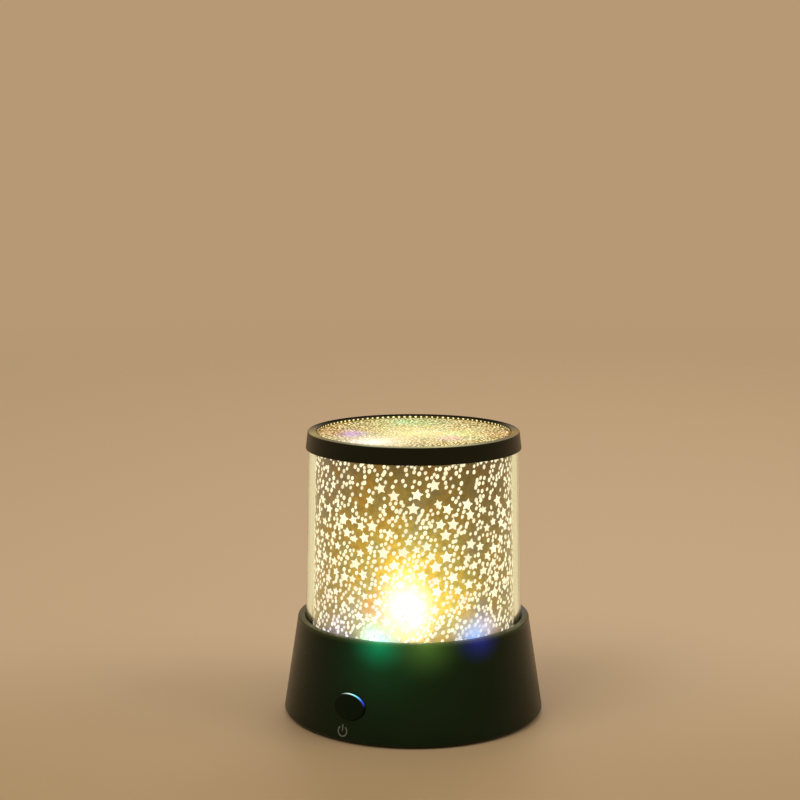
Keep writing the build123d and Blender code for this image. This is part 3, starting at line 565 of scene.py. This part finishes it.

# %% Finish of the sleeve
# The stops, pools and glares below are painted light of the LEDs on the sleeve.
sleeve_stops = [
    (0.00, (0.120, 0.120, 0.110, 1.0)),
    (0.12, (0.150, 0.135, 0.040, 1.0)),
    (0.35, (0.150, 0.112, 0.016, 1.0)),
    (0.70, (0.088, 0.054, 0.003, 1.0)),
    (1.00, (0.052, 0.028, 0.002, 1.0)),
]
sleeve_pools = [
    ((-0.0050, -0.0440, 0.0700), 0.068, (0.52, 0.46, 0.070)),
    ((0.0150, -0.0430, 0.0590), 0.025, (0.46, 0.42, 0.045)),
    ((0.0000, -0.0443, 0.0770), 0.027, (0.34, 0.30, 0.030)),
    ((-0.0180, -0.0400, 0.1060), 0.046, (0.08, 0.058, 0.004)),
    ((-0.0360, -0.0260, 0.1100), 0.026, (0.04, 0.04, 0.060)),
]
sleeve_glares = [
    ((-0.0050, -0.0443, 0.0620), 0.040, (0.19, 0.21, 0.05)),
    ((-0.0034, -0.0443, 0.0586), 0.017, (2.50, 2.50, 2.10)),
    ((-0.0042, -0.0440, 0.0690), 0.013, (0.60, 0.56, 0.14)),
    ((-0.0140, -0.0425, 0.0420), 0.017, (0.20, 1.15, 1.30)),
    ((0.0250, -0.0370, 0.0440), 0.015, (0.12, 0.50, 1.20)),
    ((-0.0330, -0.0300, 0.0440), 0.016, (0.03, 0.06, 0.20)),
    ((-0.0230, -0.0378, 0.0530), 0.022, (0.02, 0.12, 0.16)),
]
sleeve_film = star_film("star_film_sleeve_print", 0.42, sleeve_stops, sleeve_pools, sleeve_glares)
print(sleeve_film.name, "has", len(sleeve_film.node_tree.nodes), "nodes")

# %% [markdown]
# ## Film sleeve
#
# The sheet is a grid that goes once round and a few degrees further, so that its ends overlap at the
# back, where the outer end lies on the inner one. A trace of noise in its lift gives the faint waves of
# thin film that is held only by its own spring.

# %% Film sleeve
full_turn = 2 * math.pi
sheet_turn = full_turn + math.radians(5.0)
seam_start, seam_length = math.radians(168), math.radians(12)
sheet_depth, seam_lift = -0.00012, 0.00028
ripple_lift, ripple_scale, ripple_rows = 0.00004, 2.2, 22
sheet = bmesh.new()
bmesh.ops.create_grid(sheet, x_segments=220, y_segments=26, size=0.5)
for vertex in sheet.verts:
    turn = (vertex.co.x + 0.5) * sheet_turn - math.pi
    height = film_foot + (vertex.co.y + 0.5) * (film_head - film_foot)
    overlap = max(0.0, min(1.0, (turn - seam_start) / seam_length))
    ripple = noise.noise(Vector((math.sin(turn), math.cos(turn), height * ripple_rows)) * ripple_scale)
    vertex.co = (turn * flat_radius, height, sheet_depth + seam_lift * overlap + ripple_lift * ripple)
roll(sheet)
film_sheet = settle(sheet, "star_film_sheet", sleeve_film, "shade")
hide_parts("star_film_sleeve")

# %% [markdown]
# ## Windows in the film
#
# Five-pointed stars and thousands of small dots are left clear in the print. They could be a procedural
# pattern, but then they would be soft and hard to place. Here each one is a small flat disc of triangles
# from create_circle. For a star, every second rim vertex of a ten-sided disc is pulled in. Each window
# also carries a random twinkle, which its material reads as an attribute.

# %% Window material
# The LED light through each window is painted into its emission colour, and a quarter of it into its base
# colour.
def lit_window(name, strength, plain):
    """A glowing window that takes the colour of the light behind it, a little dimmer in some than others."""
    material, tree, shader = new_material(name)
    twinkle = put(tree, "Attribute", attribute_name="twinkle").outputs["Fac"]
    light = use_group(tree, light_group, Plain=plain)["Colour"]
    light = dimmed(tree, light, spread(tree, twinkle, 0.0, 1.0, 0.72, 1.0))
    wire(tree, shader, {
        "Base Color": mixed(tree, 0.25, unlit, light),
        "Emission Color": light,
        "Emission Strength": strength,
        "Roughness": 0.35,
    })
    return material


star_light = lit_window("lit_star_windows", 1.25, linear(255, 247, 212))
dot_light = lit_window("lit_dot_windows", 1.2, linear(255, 246, 208))
print("window finishes:", star_light.name, dot_light.name)

# %% Drawing one window
star_points, dot_points = 5, 4
star_waist = 0.52
window_lift = 0.00003


def add_window(flat, layer, centre, size, points, turn, slim, twinkle):
    """Draws a dot or a star flat: its size is a radius, its turn an angle and its slim a factor across."""
    disc = {"cap_ends": True, "cap_tris": True, "segments": 2 * points, "radius": size}
    made = bmesh.ops.create_circle(flat, **disc)["verts"]
    for vertex in made:
        on_rim = vertex.co.length > size / 2
        if points == star_points and on_rim:
            corner = round(math.atan2(vertex.co.x, vertex.co.y) / (math.pi / star_points))
            if corner % 2:
                vertex.co *= star_waist
        vertex.co.x *= slim
        vertex[layer] = twinkle
    bmesh.ops.rotate(flat, verts=made, matrix=Matrix.Rotation(turn, 3, "Z"))
    bmesh.ops.translate(flat, verts=made, vec=(*centre, window_lift))


def new_drawing():
    """An empty flat drawing and the layer that holds the twinkle of its windows."""
    flat = bmesh.new()
    return flat, flat.verts.layers.float.new("twinkle")


print("a star has", star_points, "points and a waist of", star_waist)

# %% Keeping the windows apart
cell_size = 0.0055


def take(spot, radius, taken):
    """Notes a taken place in a chequered map, so that only the nearest cells are searched later."""
    cell = (spot[0] // cell_size, spot[1] // cell_size)
    taken.setdefault(cell, []).append((*spot, radius))


def clear_of(spot, taken, gap):
    """Whether a spot keeps its gap to all the taken ones; each taken one has its own radius."""
    column, row = spot[0] // cell_size, spot[1] // cell_size
    for cell in ((column + across, row + up) for across in (-1, 0, 1) for up in (-1, 0, 1)):
        for x, y, radius in taken.get(cell, ()):
            if (spot[0] - x) ** 2 + (spot[1] - y) ** 2 < (gap + radius) ** 2:
                return False
    return True


print("cells of the map:", cell_size, "m")

# %% [markdown]
# ## Where the windows go
#
# The stars keep to a band from just over the LEDs nearly to the top, and are thickest at half height. The
# dots fill what is left, and about one in three has a twin close above its right, as in a drawn star map.
# A fixed seed gives the same sky each time.

# %% Stars in the sleeve
sky = random.Random(11)
stars_wanted, star_tries = 250, 20000
star_low, star_high, star_crowd = 0.047, 0.112, 0.078
star_sizes, star_gap, star_lean = (0.0019, 0.0029), 0.75, 0.35
half_length = (math.pi - math.radians(4)) * flat_radius
taken = {}
stars, star_layer = new_drawing()
count, tries = 0, 0
while count < stars_wanted and tries < star_tries:
    tries += 1
    spot = (sky.uniform(-half_length, half_length), sky.triangular(star_low, star_high, star_crowd))
    size = sky.uniform(*star_sizes)
    if clear_of(spot, taken, size * star_gap):
        take(spot, size, taken)
        count += 1
        lean = sky.uniform(-star_lean, star_lean)
        add_window(stars, star_layer, spot, size, star_points, lean, 1.0, sky.random())
roll(stars)
settle(stars, "star_windows", star_light, "shade")
print("stars placed:", count)

# %% Dots in the sleeve
dots_wanted, dot_tries = 2750, 60000
dot_sizes, dot_gap, dot_room, dot_slim = (0.00080, 0.00112), 0.00052, 0.0009, 0.78
edge_margin = 0.0012
crowd_share, crowd_low, crowd_high = 0.35, 0.045, 0.098
twin_share, twin_across, twin_up = 0.36, (0.0006, 0.0014), (0.0019, 0.0024)
dots, dot_layer = new_drawing()
count, tries = 0, 0
while count < dots_wanted and tries < dot_tries:
    tries += 1
    x = sky.uniform(-half_length, half_length)
    z = sky.uniform(film_foot + edge_margin, film_head - edge_margin)
    if sky.random() < crowd_share:
        z = sky.uniform(crowd_low, crowd_high)
    if not clear_of((x, z), taken, dot_gap):
        continue
    lean = sky.uniform(-0.55, -0.15)
    spots = [(x, z)]
    if sky.random() < twin_share:
        spots.append((x + sky.uniform(*twin_across), z + sky.uniform(*twin_up)))
    for spot in spots:
        if spot[1] > film_head - edge_margin:
            continue
        size = sky.uniform(*dot_sizes)
        add_window(dots, dot_layer, spot, size, dot_points, lean, dot_slim, sky.random())
        take(spot, dot_room, taken)
        count += 1
roll(dots)
settle(dots, "dot_windows", dot_light, "shade")
print("dots placed:", count)

# %% [markdown]
# ## Star film on top
#
# A second piece of the same film lies on the shade's top plate, under the lip of the cap ring. It is
# right above the LEDs, so the light painted into it is brighter and yellower, and its windows are smaller
# and far closer together.

# %% Film disc finish
disc_height = 0.125
# The gold, the pools and the glares are painted light of the LEDs on the disc.
disc_glow_gold = (0.20, 0.125, 0.012, 1.0)
disc_pools = [((0.0020, 0.0000, disc_height), 0.050, (0.20, 0.22, 0.08))]
disc_glares = [
    ((0.0020, 0.0000, disc_height), 0.050, (0.44, 0.50, 0.30)),
    ((0.0210, -0.0040, disc_height), 0.026, (0.26, 0.32, 0.14)),
    ((-0.0170, -0.0250, disc_height), 0.033, (0.92, 0.88, 0.82)),
    ((-0.0275, -0.0020, disc_height), 0.022, (0.24, 0.11, 0.50), (2.8, 1.0, 1.0)),
    ((-0.0040, 0.0300, disc_height), 0.030, (0.06, 0.16, 0.04), (0.8, 1.2, 1.0)),
    ((0.0170, -0.0147, disc_height), 0.013, (0.26, 0.10, 0.20), (2.0, 1.0, 1.0)),
]
disc_stops = [(0.0, disc_glow_gold), (1.0, disc_glow_gold)]
disc_film = star_film("star_film_disc_print", 0.30, disc_stops, disc_pools, disc_glares)
finish_nodes(disc_film, "star_film_disc")

# %% Windows in the disc
disc_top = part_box("star_film_disc")[1].z
disc_light = lit_window("lit_disc_windows", 1.15, linear(246, 238, 172))
disc_wanted, disc_tries = 2100, 40000
disc_reach, disc_sizes, disc_gap, disc_slim = 0.0418, (0.00042, 0.00074), 0.00042, 0.85
disc_taken = {}
disc_windows, disc_layer = new_drawing()
disc_count, tries = 0, 0
while disc_count < disc_wanted and tries < disc_tries:
    tries += 1
    radius, angle = disc_reach * math.sqrt(sky.random()), sky.uniform(0, full_turn)
    spot = (radius * math.sin(angle), radius * math.cos(angle))
    if clear_of(spot, disc_taken, disc_gap):
        size, lean = sky.uniform(*disc_sizes), sky.uniform(-0.6, 0.6)
        add_window(disc_windows, disc_layer, spot, size, dot_points, lean, disc_slim, sky.random())
        take(spot, size, disc_taken)
        disc_count += 1
bmesh.ops.translate(disc_windows, verts=disc_windows.verts[:], vec=(0.0, 0.0, disc_top))
settle(disc_windows, "disc_windows", disc_light, "shade")

# %% [markdown]
# ## Turned-up rim of the disc
#
# The disc was cut a little larger than the opening, so its edge stands up against the inside of the lip.
# That narrow band carries one even row of round windows. It is drawn flat and rolled like the sleeve,
# and its faces are turned round, because it is seen from the inside. The light painted into its film is
# far darker than on the disc, because it faces away from the LEDs.

# %% Rim band
band_radius, band_share, band_gap = 0.04262, 0.36, 0.00002
lip_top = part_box("cap_ring")[1].z
band_half = (lip_top - disc_top) * band_share
band_middle = disc_top + band_half + band_gap
band_lift = band_radius - film_radius(band_middle)
band_length = full_turn * flat_radius
# Painted light of the LEDs, dimmer than on the disc because the band faces away from them.
rim_stops = [(0.0, (0.034, 0.024, 0.003, 1.0)), (1.0, (0.050, 0.036, 0.004, 1.0))]
rim_film = star_film("star_film_rim_print", 0.10, rim_stops)
rim_band = bmesh.new()
bmesh.ops.create_grid(rim_band, x_segments=160, y_segments=1, size=0.5)
for vertex in rim_band.verts:
    vertex.co = (vertex.co.x * band_length, band_middle + 2 * vertex.co.y * band_half, band_lift)
roll(rim_band)
bmesh.ops.remove_doubles(rim_band, verts=rim_band.verts[:], dist=1e-6)
bmesh.ops.reverse_faces(rim_band, faces=rim_band.faces[:])
settle(rim_band, "disc_rim_band", rim_film, "shade")

# %% Windows in the rim band
rim_count = 104
rim_windows, rim_layer = new_drawing()
for index in range(rim_count):
    centre = ((index + 0.5) * band_length / rim_count, band_middle)
    size = band_half * sky.uniform(0.80, 1.0)
    slim, twinkle = sky.uniform(1.2, 1.7), 0.8 + 0.4 * sky.random()
    add_window(rim_windows, rim_layer, centre, size, dot_points, 0.0, slim, twinkle)
bmesh.ops.translate(rim_windows, verts=rim_windows.verts[:], vec=(0.0, 0.0, band_lift - 2 * window_lift))
roll(rim_windows)
bmesh.ops.reverse_faces(rim_windows, faces=rim_windows.faces[:])
settle(rim_windows, "disc_rim_windows", disc_light, "shade")
print("windows in the disc:", disc_count, "and in its rim:", rim_count)

# %% [markdown]
# ## LEDs
#
# Each LED is a clear or tinted epoxy dome that glows from inside. The glow is whiter in the core and
# takes on the LED's own colour above and below it, so the emission colour follows the height in the dome.
# The strength is a plain number on the shader, high enough to light the film.

# %% LED domes
led_height, core_reach = 0.0086, 0.006
led_settings = (
    ("centre_led", "led_warm_white", linear(255, 248, 232), linear(255, 214, 120), 190.0, 0.006),
    ("green_led", "led_green", linear(150, 255, 235), linear(10, 200, 110), 40.0, 0.003),
    ("blue_led", "led_blue", linear(170, 170, 255), linear(30, 30, 220), 24.0, 0.003),
    ("red_led", "led_red", linear(255, 110, 80), linear(220, 20, 10), 20.0, 0.003),
)
for node, name, core, body_colour, strength, core_height in led_settings:
    material, tree, shader = new_material(name)
    core_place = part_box(node)[1].z - led_height + core_height
    off_core = maths(tree, "ABSOLUTE", maths(tree, "SUBTRACT", object_axis(tree, "Z"), core_place))
    level = spread(tree, off_core, core_reach, 0.0, curve="SMOOTHSTEP")
    tint = mixed(tree, level, body_colour, core)
    wire(tree, shader, {"Base Color": tint, "Emission Color": tint})
    wire(tree, shader, {"Emission Strength": strength, "Roughness": 0.12})
    finish_nodes(material, node)

# %% [markdown]
# ## Reflector card
#
# A disc of silver card lies on the floor of the socket and throws stray light up. Fine fibres break up
# its shine, and the light of each LED is painted on the card round its hole, as a pool in its emission
# colour.

# %% Reflector card
def middle_of(node, height):
    """The point on a node's upright axis at a given height."""
    low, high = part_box(node)
    return ((low.x + high.x) / 2, (low.y + high.y) / 2, height)


card_height, card_reach = 0.038, 0.022
silver_card, tree, shader = new_material("silver_reflector_card")
fibre = speckle(tree, 900.0, 4.0, Distortion=1.5)
card_glow = add_pools(tree, unlit, [
    (middle_of("centre_led", card_height), card_reach, (1.00, 0.78, 0.36)),
    (middle_of("green_led", card_height), card_reach, (0.02, 0.62, 0.28)),
    (middle_of("blue_led", card_height), card_reach, (0.06, 0.07, 0.80)),
    (middle_of("red_led", card_height), card_reach, (0.70, 0.05, 0.03)),
])
wire(tree, shader, {
    "Base Color": mixed(tree, fibre, linear(168, 168, 164), linear(214, 213, 206)),
    "Roughness": spread(tree, fibre, 0.3, 0.7, 0.34, 0.52),
    "Normal": bump(tree, fibre, 0.2, 0.0001),
    "Metallic": 0.75,
    "Emission Color": card_glow,
    "Emission Strength": 0.5,
})
finish_nodes(silver_card, "reflector_disc")

# %% [markdown]
# ## Circuit boards
#
# Both boards are glass-fibre laminate under green solder mask. A brick texture with long bricks hints at
# the copper tracks under the mask, and fine noise gives the weave of the glass.

# %% Board finish
board_green, tree, shader = new_material("board_green_mask")
long_bricks = {
    "Vector": object_place(tree),
    "Scale": 120.0,
    "Mortar Size": 0.12,
    "Mortar Smooth": 0.1,
    "Brick Width": 1.9,
    "Row Height": 0.32,
}
tracks = put(tree, "TexBrick", long_bricks, offset=0.37).outputs["Fac"]
mask_colour = mixed(tree, tracks, linear(18, 84, 48), linear(34, 116, 66))
weave = spread(tree, speckle(tree, 1500.0, 1.0), 0.4, 0.6, 0.0, 0.3)
wire(tree, shader, {
    "Base Color": mixed(tree, weave, mask_colour, linear(12, 66, 38)),
    "Roughness": spread(tree, tracks, 0.0, 1.0, 0.28, 0.4),
    "Normal": bump(tree, tracks, 0.3, 0.00005),
})
finish_nodes(board_green, "led_board", "switch_board")


# %% [markdown]
# ## Metals
#
# Screws are zinc-plated steel, contacts and springs are nickel-plated. Both are metallic with a roughness
# that varies over the surface, from polished where parts rub to dull where plating is thick.

# %% Plated metals
def plated(name, dark, bright, roughness, scale):
    material, tree, shader = new_material(name)
    cloud = speckle(tree, scale, 5.0)
    wire(tree, shader, {
        "Base Color": mixed(tree, cloud, dark, bright),
        "Roughness": spread(tree, cloud, 0.3, 0.7, *roughness),
        "Normal": bump(tree, cloud, 0.1, 0.00005),
        "Metallic": 1.0,
    })
    return material


zinc_steel = plated("zinc_plated_steel", linear(150, 150, 148), linear(204, 204, 200), (0.26, 0.42), 700.0)
nickel = plated("nickel_plate", linear(170, 164, 152), linear(216, 210, 198), (0.18, 0.32), 500.0)
finish_nodes(zinc_steel, "board_screws", "cover_screws", "door_screw")
finish_nodes(nickel, "contact_negative", "contact_positive", "dc_jack_pin")
finish_nodes(nickel, "contact_bridge_front", "contact_bridge_rear")


# %% [markdown]
# ## Small moulded and rubber parts
#
# Spacers, the push switch, the inlet and the chip are plain moulded plastics that differ in colour and
# gloss. One helper builds them from the grain group. The rubber feet use it too, rough and nearly black,
# and so does the insulation of the leads.

# %% Small plastics
def small_plastic(name, dark, light, roughness, grain_scale=2200.0, depth=0.2):
    material, tree, shader = new_material(name)
    grain = use_group(tree, grain_group, Grain_Scale=grain_scale)
    wire(tree, shader, {
        "Base Color": mixed(tree, grain["Patches"], dark, light),
        "Roughness": spread(tree, grain["Patches"], 0.0, 1.0, *roughness),
        "Normal": bump(tree, grain["Height"], depth, 0.00004),
    })
    return material


white_nylon = small_plastic("nylon_spacer_white", linear(222, 220, 210), linear(236, 234, 226), (0.4, 0.5))
switch_black = small_plastic("switch_black", linear(22, 22, 23), linear(32, 32, 33), (0.3, 0.4))
plunger_grey = small_plastic("plunger_grey", linear(120, 122, 124), linear(138, 140, 142), (0.35, 0.45))
chip_epoxy = small_plastic("chip_epoxy", linear(26, 26, 27), linear(36, 36, 37), (0.5, 0.62))
chip_ceramic = small_plastic("ceramic_chip", linear(34, 32, 32), linear(58, 55, 52), (0.35, 0.5))
rubber = small_plastic("black_rubber", linear(26, 26, 26), linear(40, 40, 39), (0.75, 0.9), 1400.0, 0.5)
finish_nodes(white_nylon, "centre_led_spacer", "colour_led_spacers")
finish_nodes(switch_black, "switch_body", "dc_jack")
finish_nodes(plunger_grey, "switch_plunger")
finish_nodes(chip_epoxy, "controller_chip")
finish_nodes(chip_ceramic, "led_resistors")
finish_nodes(rubber, "rubber_feet")

# %% Insulation of the leads
red_lead = small_plastic("red_insulation", linear(150, 20, 18), linear(178, 32, 26), (0.38, 0.48))
black_lead = small_plastic("black_insulation", linear(20, 20, 21), linear(34, 34, 35), (0.38, 0.48))
finish_nodes(red_lead, "battery_lead_red", "jack_lead_red", "switch_lead_right")
finish_nodes(black_lead, "battery_lead_black", "jack_lead_black", "switch_lead_left")


# %% [markdown]
# ## Battery cells
#
# A plain unlabelled sleeve covers each cell: slate blue with a silver band at the positive end, and bare
# steel at both ends. The cells lie along Y in turns, so the band's side is an input.

# %% Battery cells
steel, slate, silver = linear(190, 188, 182), linear(52, 66, 86), linear(176, 178, 180)
sleeve_start, band_start, sleeve_end = 0.016, 0.80, 0.955
bare_metal, painted = (1.0, 1.0, 1.0, 1.0), (0.0, 0.0, 0.0, 1.0)
tint_stops = [(0.0, steel), (sleeve_start, slate), (band_start, silver), (sleeve_end, steel)]
bare_stops = [(0.0, bare_metal), (sleeve_start, painted), (sleeve_end, bare_metal)]


def cell_finish(name, node, positive_end):
    """The finish of a cell; its positive end is 1 at the back and -1 at the front."""
    material, tree, shader = new_material(name)
    low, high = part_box(node)
    along = spread(tree, object_axis(tree, "Y"), low.y, high.y)
    if positive_end < 0:
        along = maths(tree, "SUBTRACT", 1.0, along)
    tint = ramp(tree, along, tint_stops, "CONSTANT")
    patches = use_group(tree, grain_group, Patch_Scale=160.0)["Patches"]
    wire(tree, shader, {
        "Base Color": mixed(tree, maths(tree, "MULTIPLY", patches, 0.12), tint, (0.02, 0.02, 0.02, 1.0)),
        "Roughness": spread(tree, patches, 0.0, 1.0, 0.22, 0.34),
        "Metallic": ramp(tree, along, bare_stops, "CONSTANT"),
    })
    finish_nodes(material, node)


cell_finish("cell_sleeve_left", "aa_cell_left", -1)
cell_finish("cell_sleeve_middle", "aa_cell_middle", 1)
cell_finish("cell_sleeve_right", "aa_cell_right", -1)

# %% [markdown]
# ## Mark under the button
#
# A small grey standby mark is printed under the button: an open ring with a bar. A ribbon of one edge is
# spun through most of a circle, the bar is a stretched grid, and both are laid on the cone a hair above
# the plastic.

# %% Standby mark
base_foot, base_foot_radius = 0.0008, 0.05785
base_ledge, base_ledge_radius = 0.0436, 0.0513
base_slope = (base_ledge_radius - base_foot_radius) / (base_ledge - base_foot)
mark_azimuth, mark_height, mark_lift = math.radians(-32.0), 0.0052, 0.00003
mark_radius, mark_stroke = 0.0024, 0.00052
ring_start, ring_turn = math.radians(125), math.radians(290)
bar_length, bar_middle = mark_radius * 1.15, mark_radius * 0.62
mark = bmesh.new()
inner = mark.verts.new((mark_radius - mark_stroke, 0.0, 0.0))
outer = mark.verts.new((mark_radius, 0.0, 0.0))
bmesh.ops.rotate(mark, verts=[inner, outer], matrix=Matrix.Rotation(ring_start, 3, "Z"))
ribbon = [inner, outer, mark.edges.new((inner, outer))]
spin = {"cent": (0, 0, 0), "axis": (0, 0, 1), "dvec": (0, 0, 0), "angle": ring_turn, "steps": 40}
bmesh.ops.spin(mark, geom=ribbon, use_merge=False, **spin)
bar = bmesh.ops.create_grid(mark, x_segments=1, y_segments=6, size=0.5)["verts"]
bmesh.ops.scale(mark, verts=bar, vec=(mark_stroke, bar_length, 1.0))
bmesh.ops.translate(mark, verts=bar, vec=(0.0, bar_middle, 0.0))
print("flat mark:", len(mark.faces), "faces")

# %% Laying the mark on the cone
for vertex in mark.verts:
    height = mark_height + vertex.co.y
    radius = base_foot_radius + (height - base_foot) * base_slope
    angle = mark_azimuth + vertex.co.x / radius
    radius += mark_lift
    vertex.co = (radius * math.sin(angle), -radius * math.cos(angle), height)
outwards = Vector((math.sin(mark_azimuth), -math.cos(mark_azimuth), 0.0))
for face in mark.faces:
    if face.normal.dot(outwards) < 0:
        face.normal_flip()
mark_print = small_plastic("grey_print", linear(104, 104, 96), linear(126, 126, 118), (0.5, 0.6))
settle(mark, "standby_mark", mark_print, "base", smooth=False)

# %% [markdown]
# ## Table, light and background
#
# The lamp stands on a pale warm table in soft light. Three large area lamps and a dim even world light it
# from outside. The table fades out far from the lamp, and the camera, mirrors and glass see a pale warm
# background instead of the dim world, which is what the Light Path node is for. Seen from below or
# through the clear shade, the table is left out.

# %% Table
table_radius = 2.4
fade_start, fade_end = 0.35, 1.9
table = bmesh.new()
bmesh.ops.create_circle(table, cap_ends=True, segments=96, radius=table_radius)
table_mesh = bpy.data.meshes.new("table")
table.to_mesh(table_mesh)
table.free()
table_top = bpy.data.objects.new("table", table_mesh)
bpy.context.collection.objects.link(table_top)
print("table", 2 * table_radius, "m across")

# %% Table finish
table_finish, tree, shader = new_material("table_matt")
# The table is painted darker in front of the lamp: painted shade.
near = spread(tree, object_axis(tree, "Y"), 0.12, -0.12, curve="SMOOTHSTEP")
wire(tree, shader, {
    "Base Color": mixed(tree, near, linear(213, 184, 147), linear(188, 159, 118)),
    "Roughness": 0.55,
    "Specular IOR Level": 0.25,
})
away = vectors(tree, "LENGTH", object_place(tree))
faded = spread(tree, away, fade_start, fade_end, curve="SMOOTHSTEP")
through_glass = put(tree, "LightPath").outputs["Is Transmission Ray"]
from_below = put(tree, "NewGeometry").outputs["Backfacing"]
left_out = maths(tree, "MAXIMUM", maths(tree, "MAXIMUM", faded, through_glass), from_below)
fade = put(tree, "MixShader", {0: left_out, 1: shader.outputs[0], 2: put(tree, "BsdfTransparent").outputs[0]})
tree.links.new(fade.outputs[0], tree.nodes["Material Output"].inputs["Surface"])
table_mesh.materials.append(table_finish)
print(table_finish.name, "fades from", fade_start, "to", fade_end, "m")

# %% World
world = bpy.data.worlds.new("room")
bpy.context.scene.world = world
world.use_nodes = True
tree = world.node_tree
path = put(tree, "LightPath").outputs
seen = maths(tree, "MAXIMUM", path["Is Camera Ray"], path["Is Glossy Ray"])
seen = maths(tree, "MAXIMUM", seen, path["Is Transmission Ray"])
# Through glass the backdrop is brighter and yellower: a painted glow of the lamp's light in the clear shade.
wall_tone, tone_in_glass = linear(183, 154, 117), linear(248, 234, 182)
backdrop_tone = mixed(tree, path["Is Transmission Ray"], wall_tone, tone_in_glass)
backdrop = put(tree, "Background", {"Color": backdrop_tone, "Strength": 1.0})
lighting = tree.nodes["Background"]
wire(tree, lighting, {"Color": (1.0, 0.96, 0.90, 1.0), "Strength": 0.30})
choice = put(tree, "MixShader", {0: seen, 1: lighting.outputs[0], 2: backdrop.outputs[0]})
tree.links.new(choice.outputs[0], tree.nodes["World Output"].inputs["Surface"])
print("world ready")


# %% Lamps
lamp_target = Vector((0.0, 0.0, 0.06))


def soft_lamp(name, place, size, power, colour):
    """A square area lamp that looks at the middle of the object."""
    data = bpy.data.lights.new(name, "AREA")
    data.size, data.energy, data.color = size, power, colour
    lamp = bpy.data.objects.new(name, data)
    lamp.location = place
    lamp.rotation_euler = (lamp_target - Vector(place)).to_track_quat("-Z", "Y").to_euler()
    bpy.context.collection.objects.link(lamp)
    print(name, "at", place)


soft_lamp("key_lamp", (-0.9, -0.7, 1.5), 1.1, 11.0, (1.0, 0.95, 0.88))
soft_lamp("fill_lamp", (1.1, -0.3, 1.1), 1.0, 6.0, (1.0, 0.94, 0.86))
soft_lamp("back_lamp", (0.2, 1.3, 1.2), 1.0, 6.0, (1.0, 0.93, 0.84))
bpy.context.scene.view_settings.view_transform = "Standard"
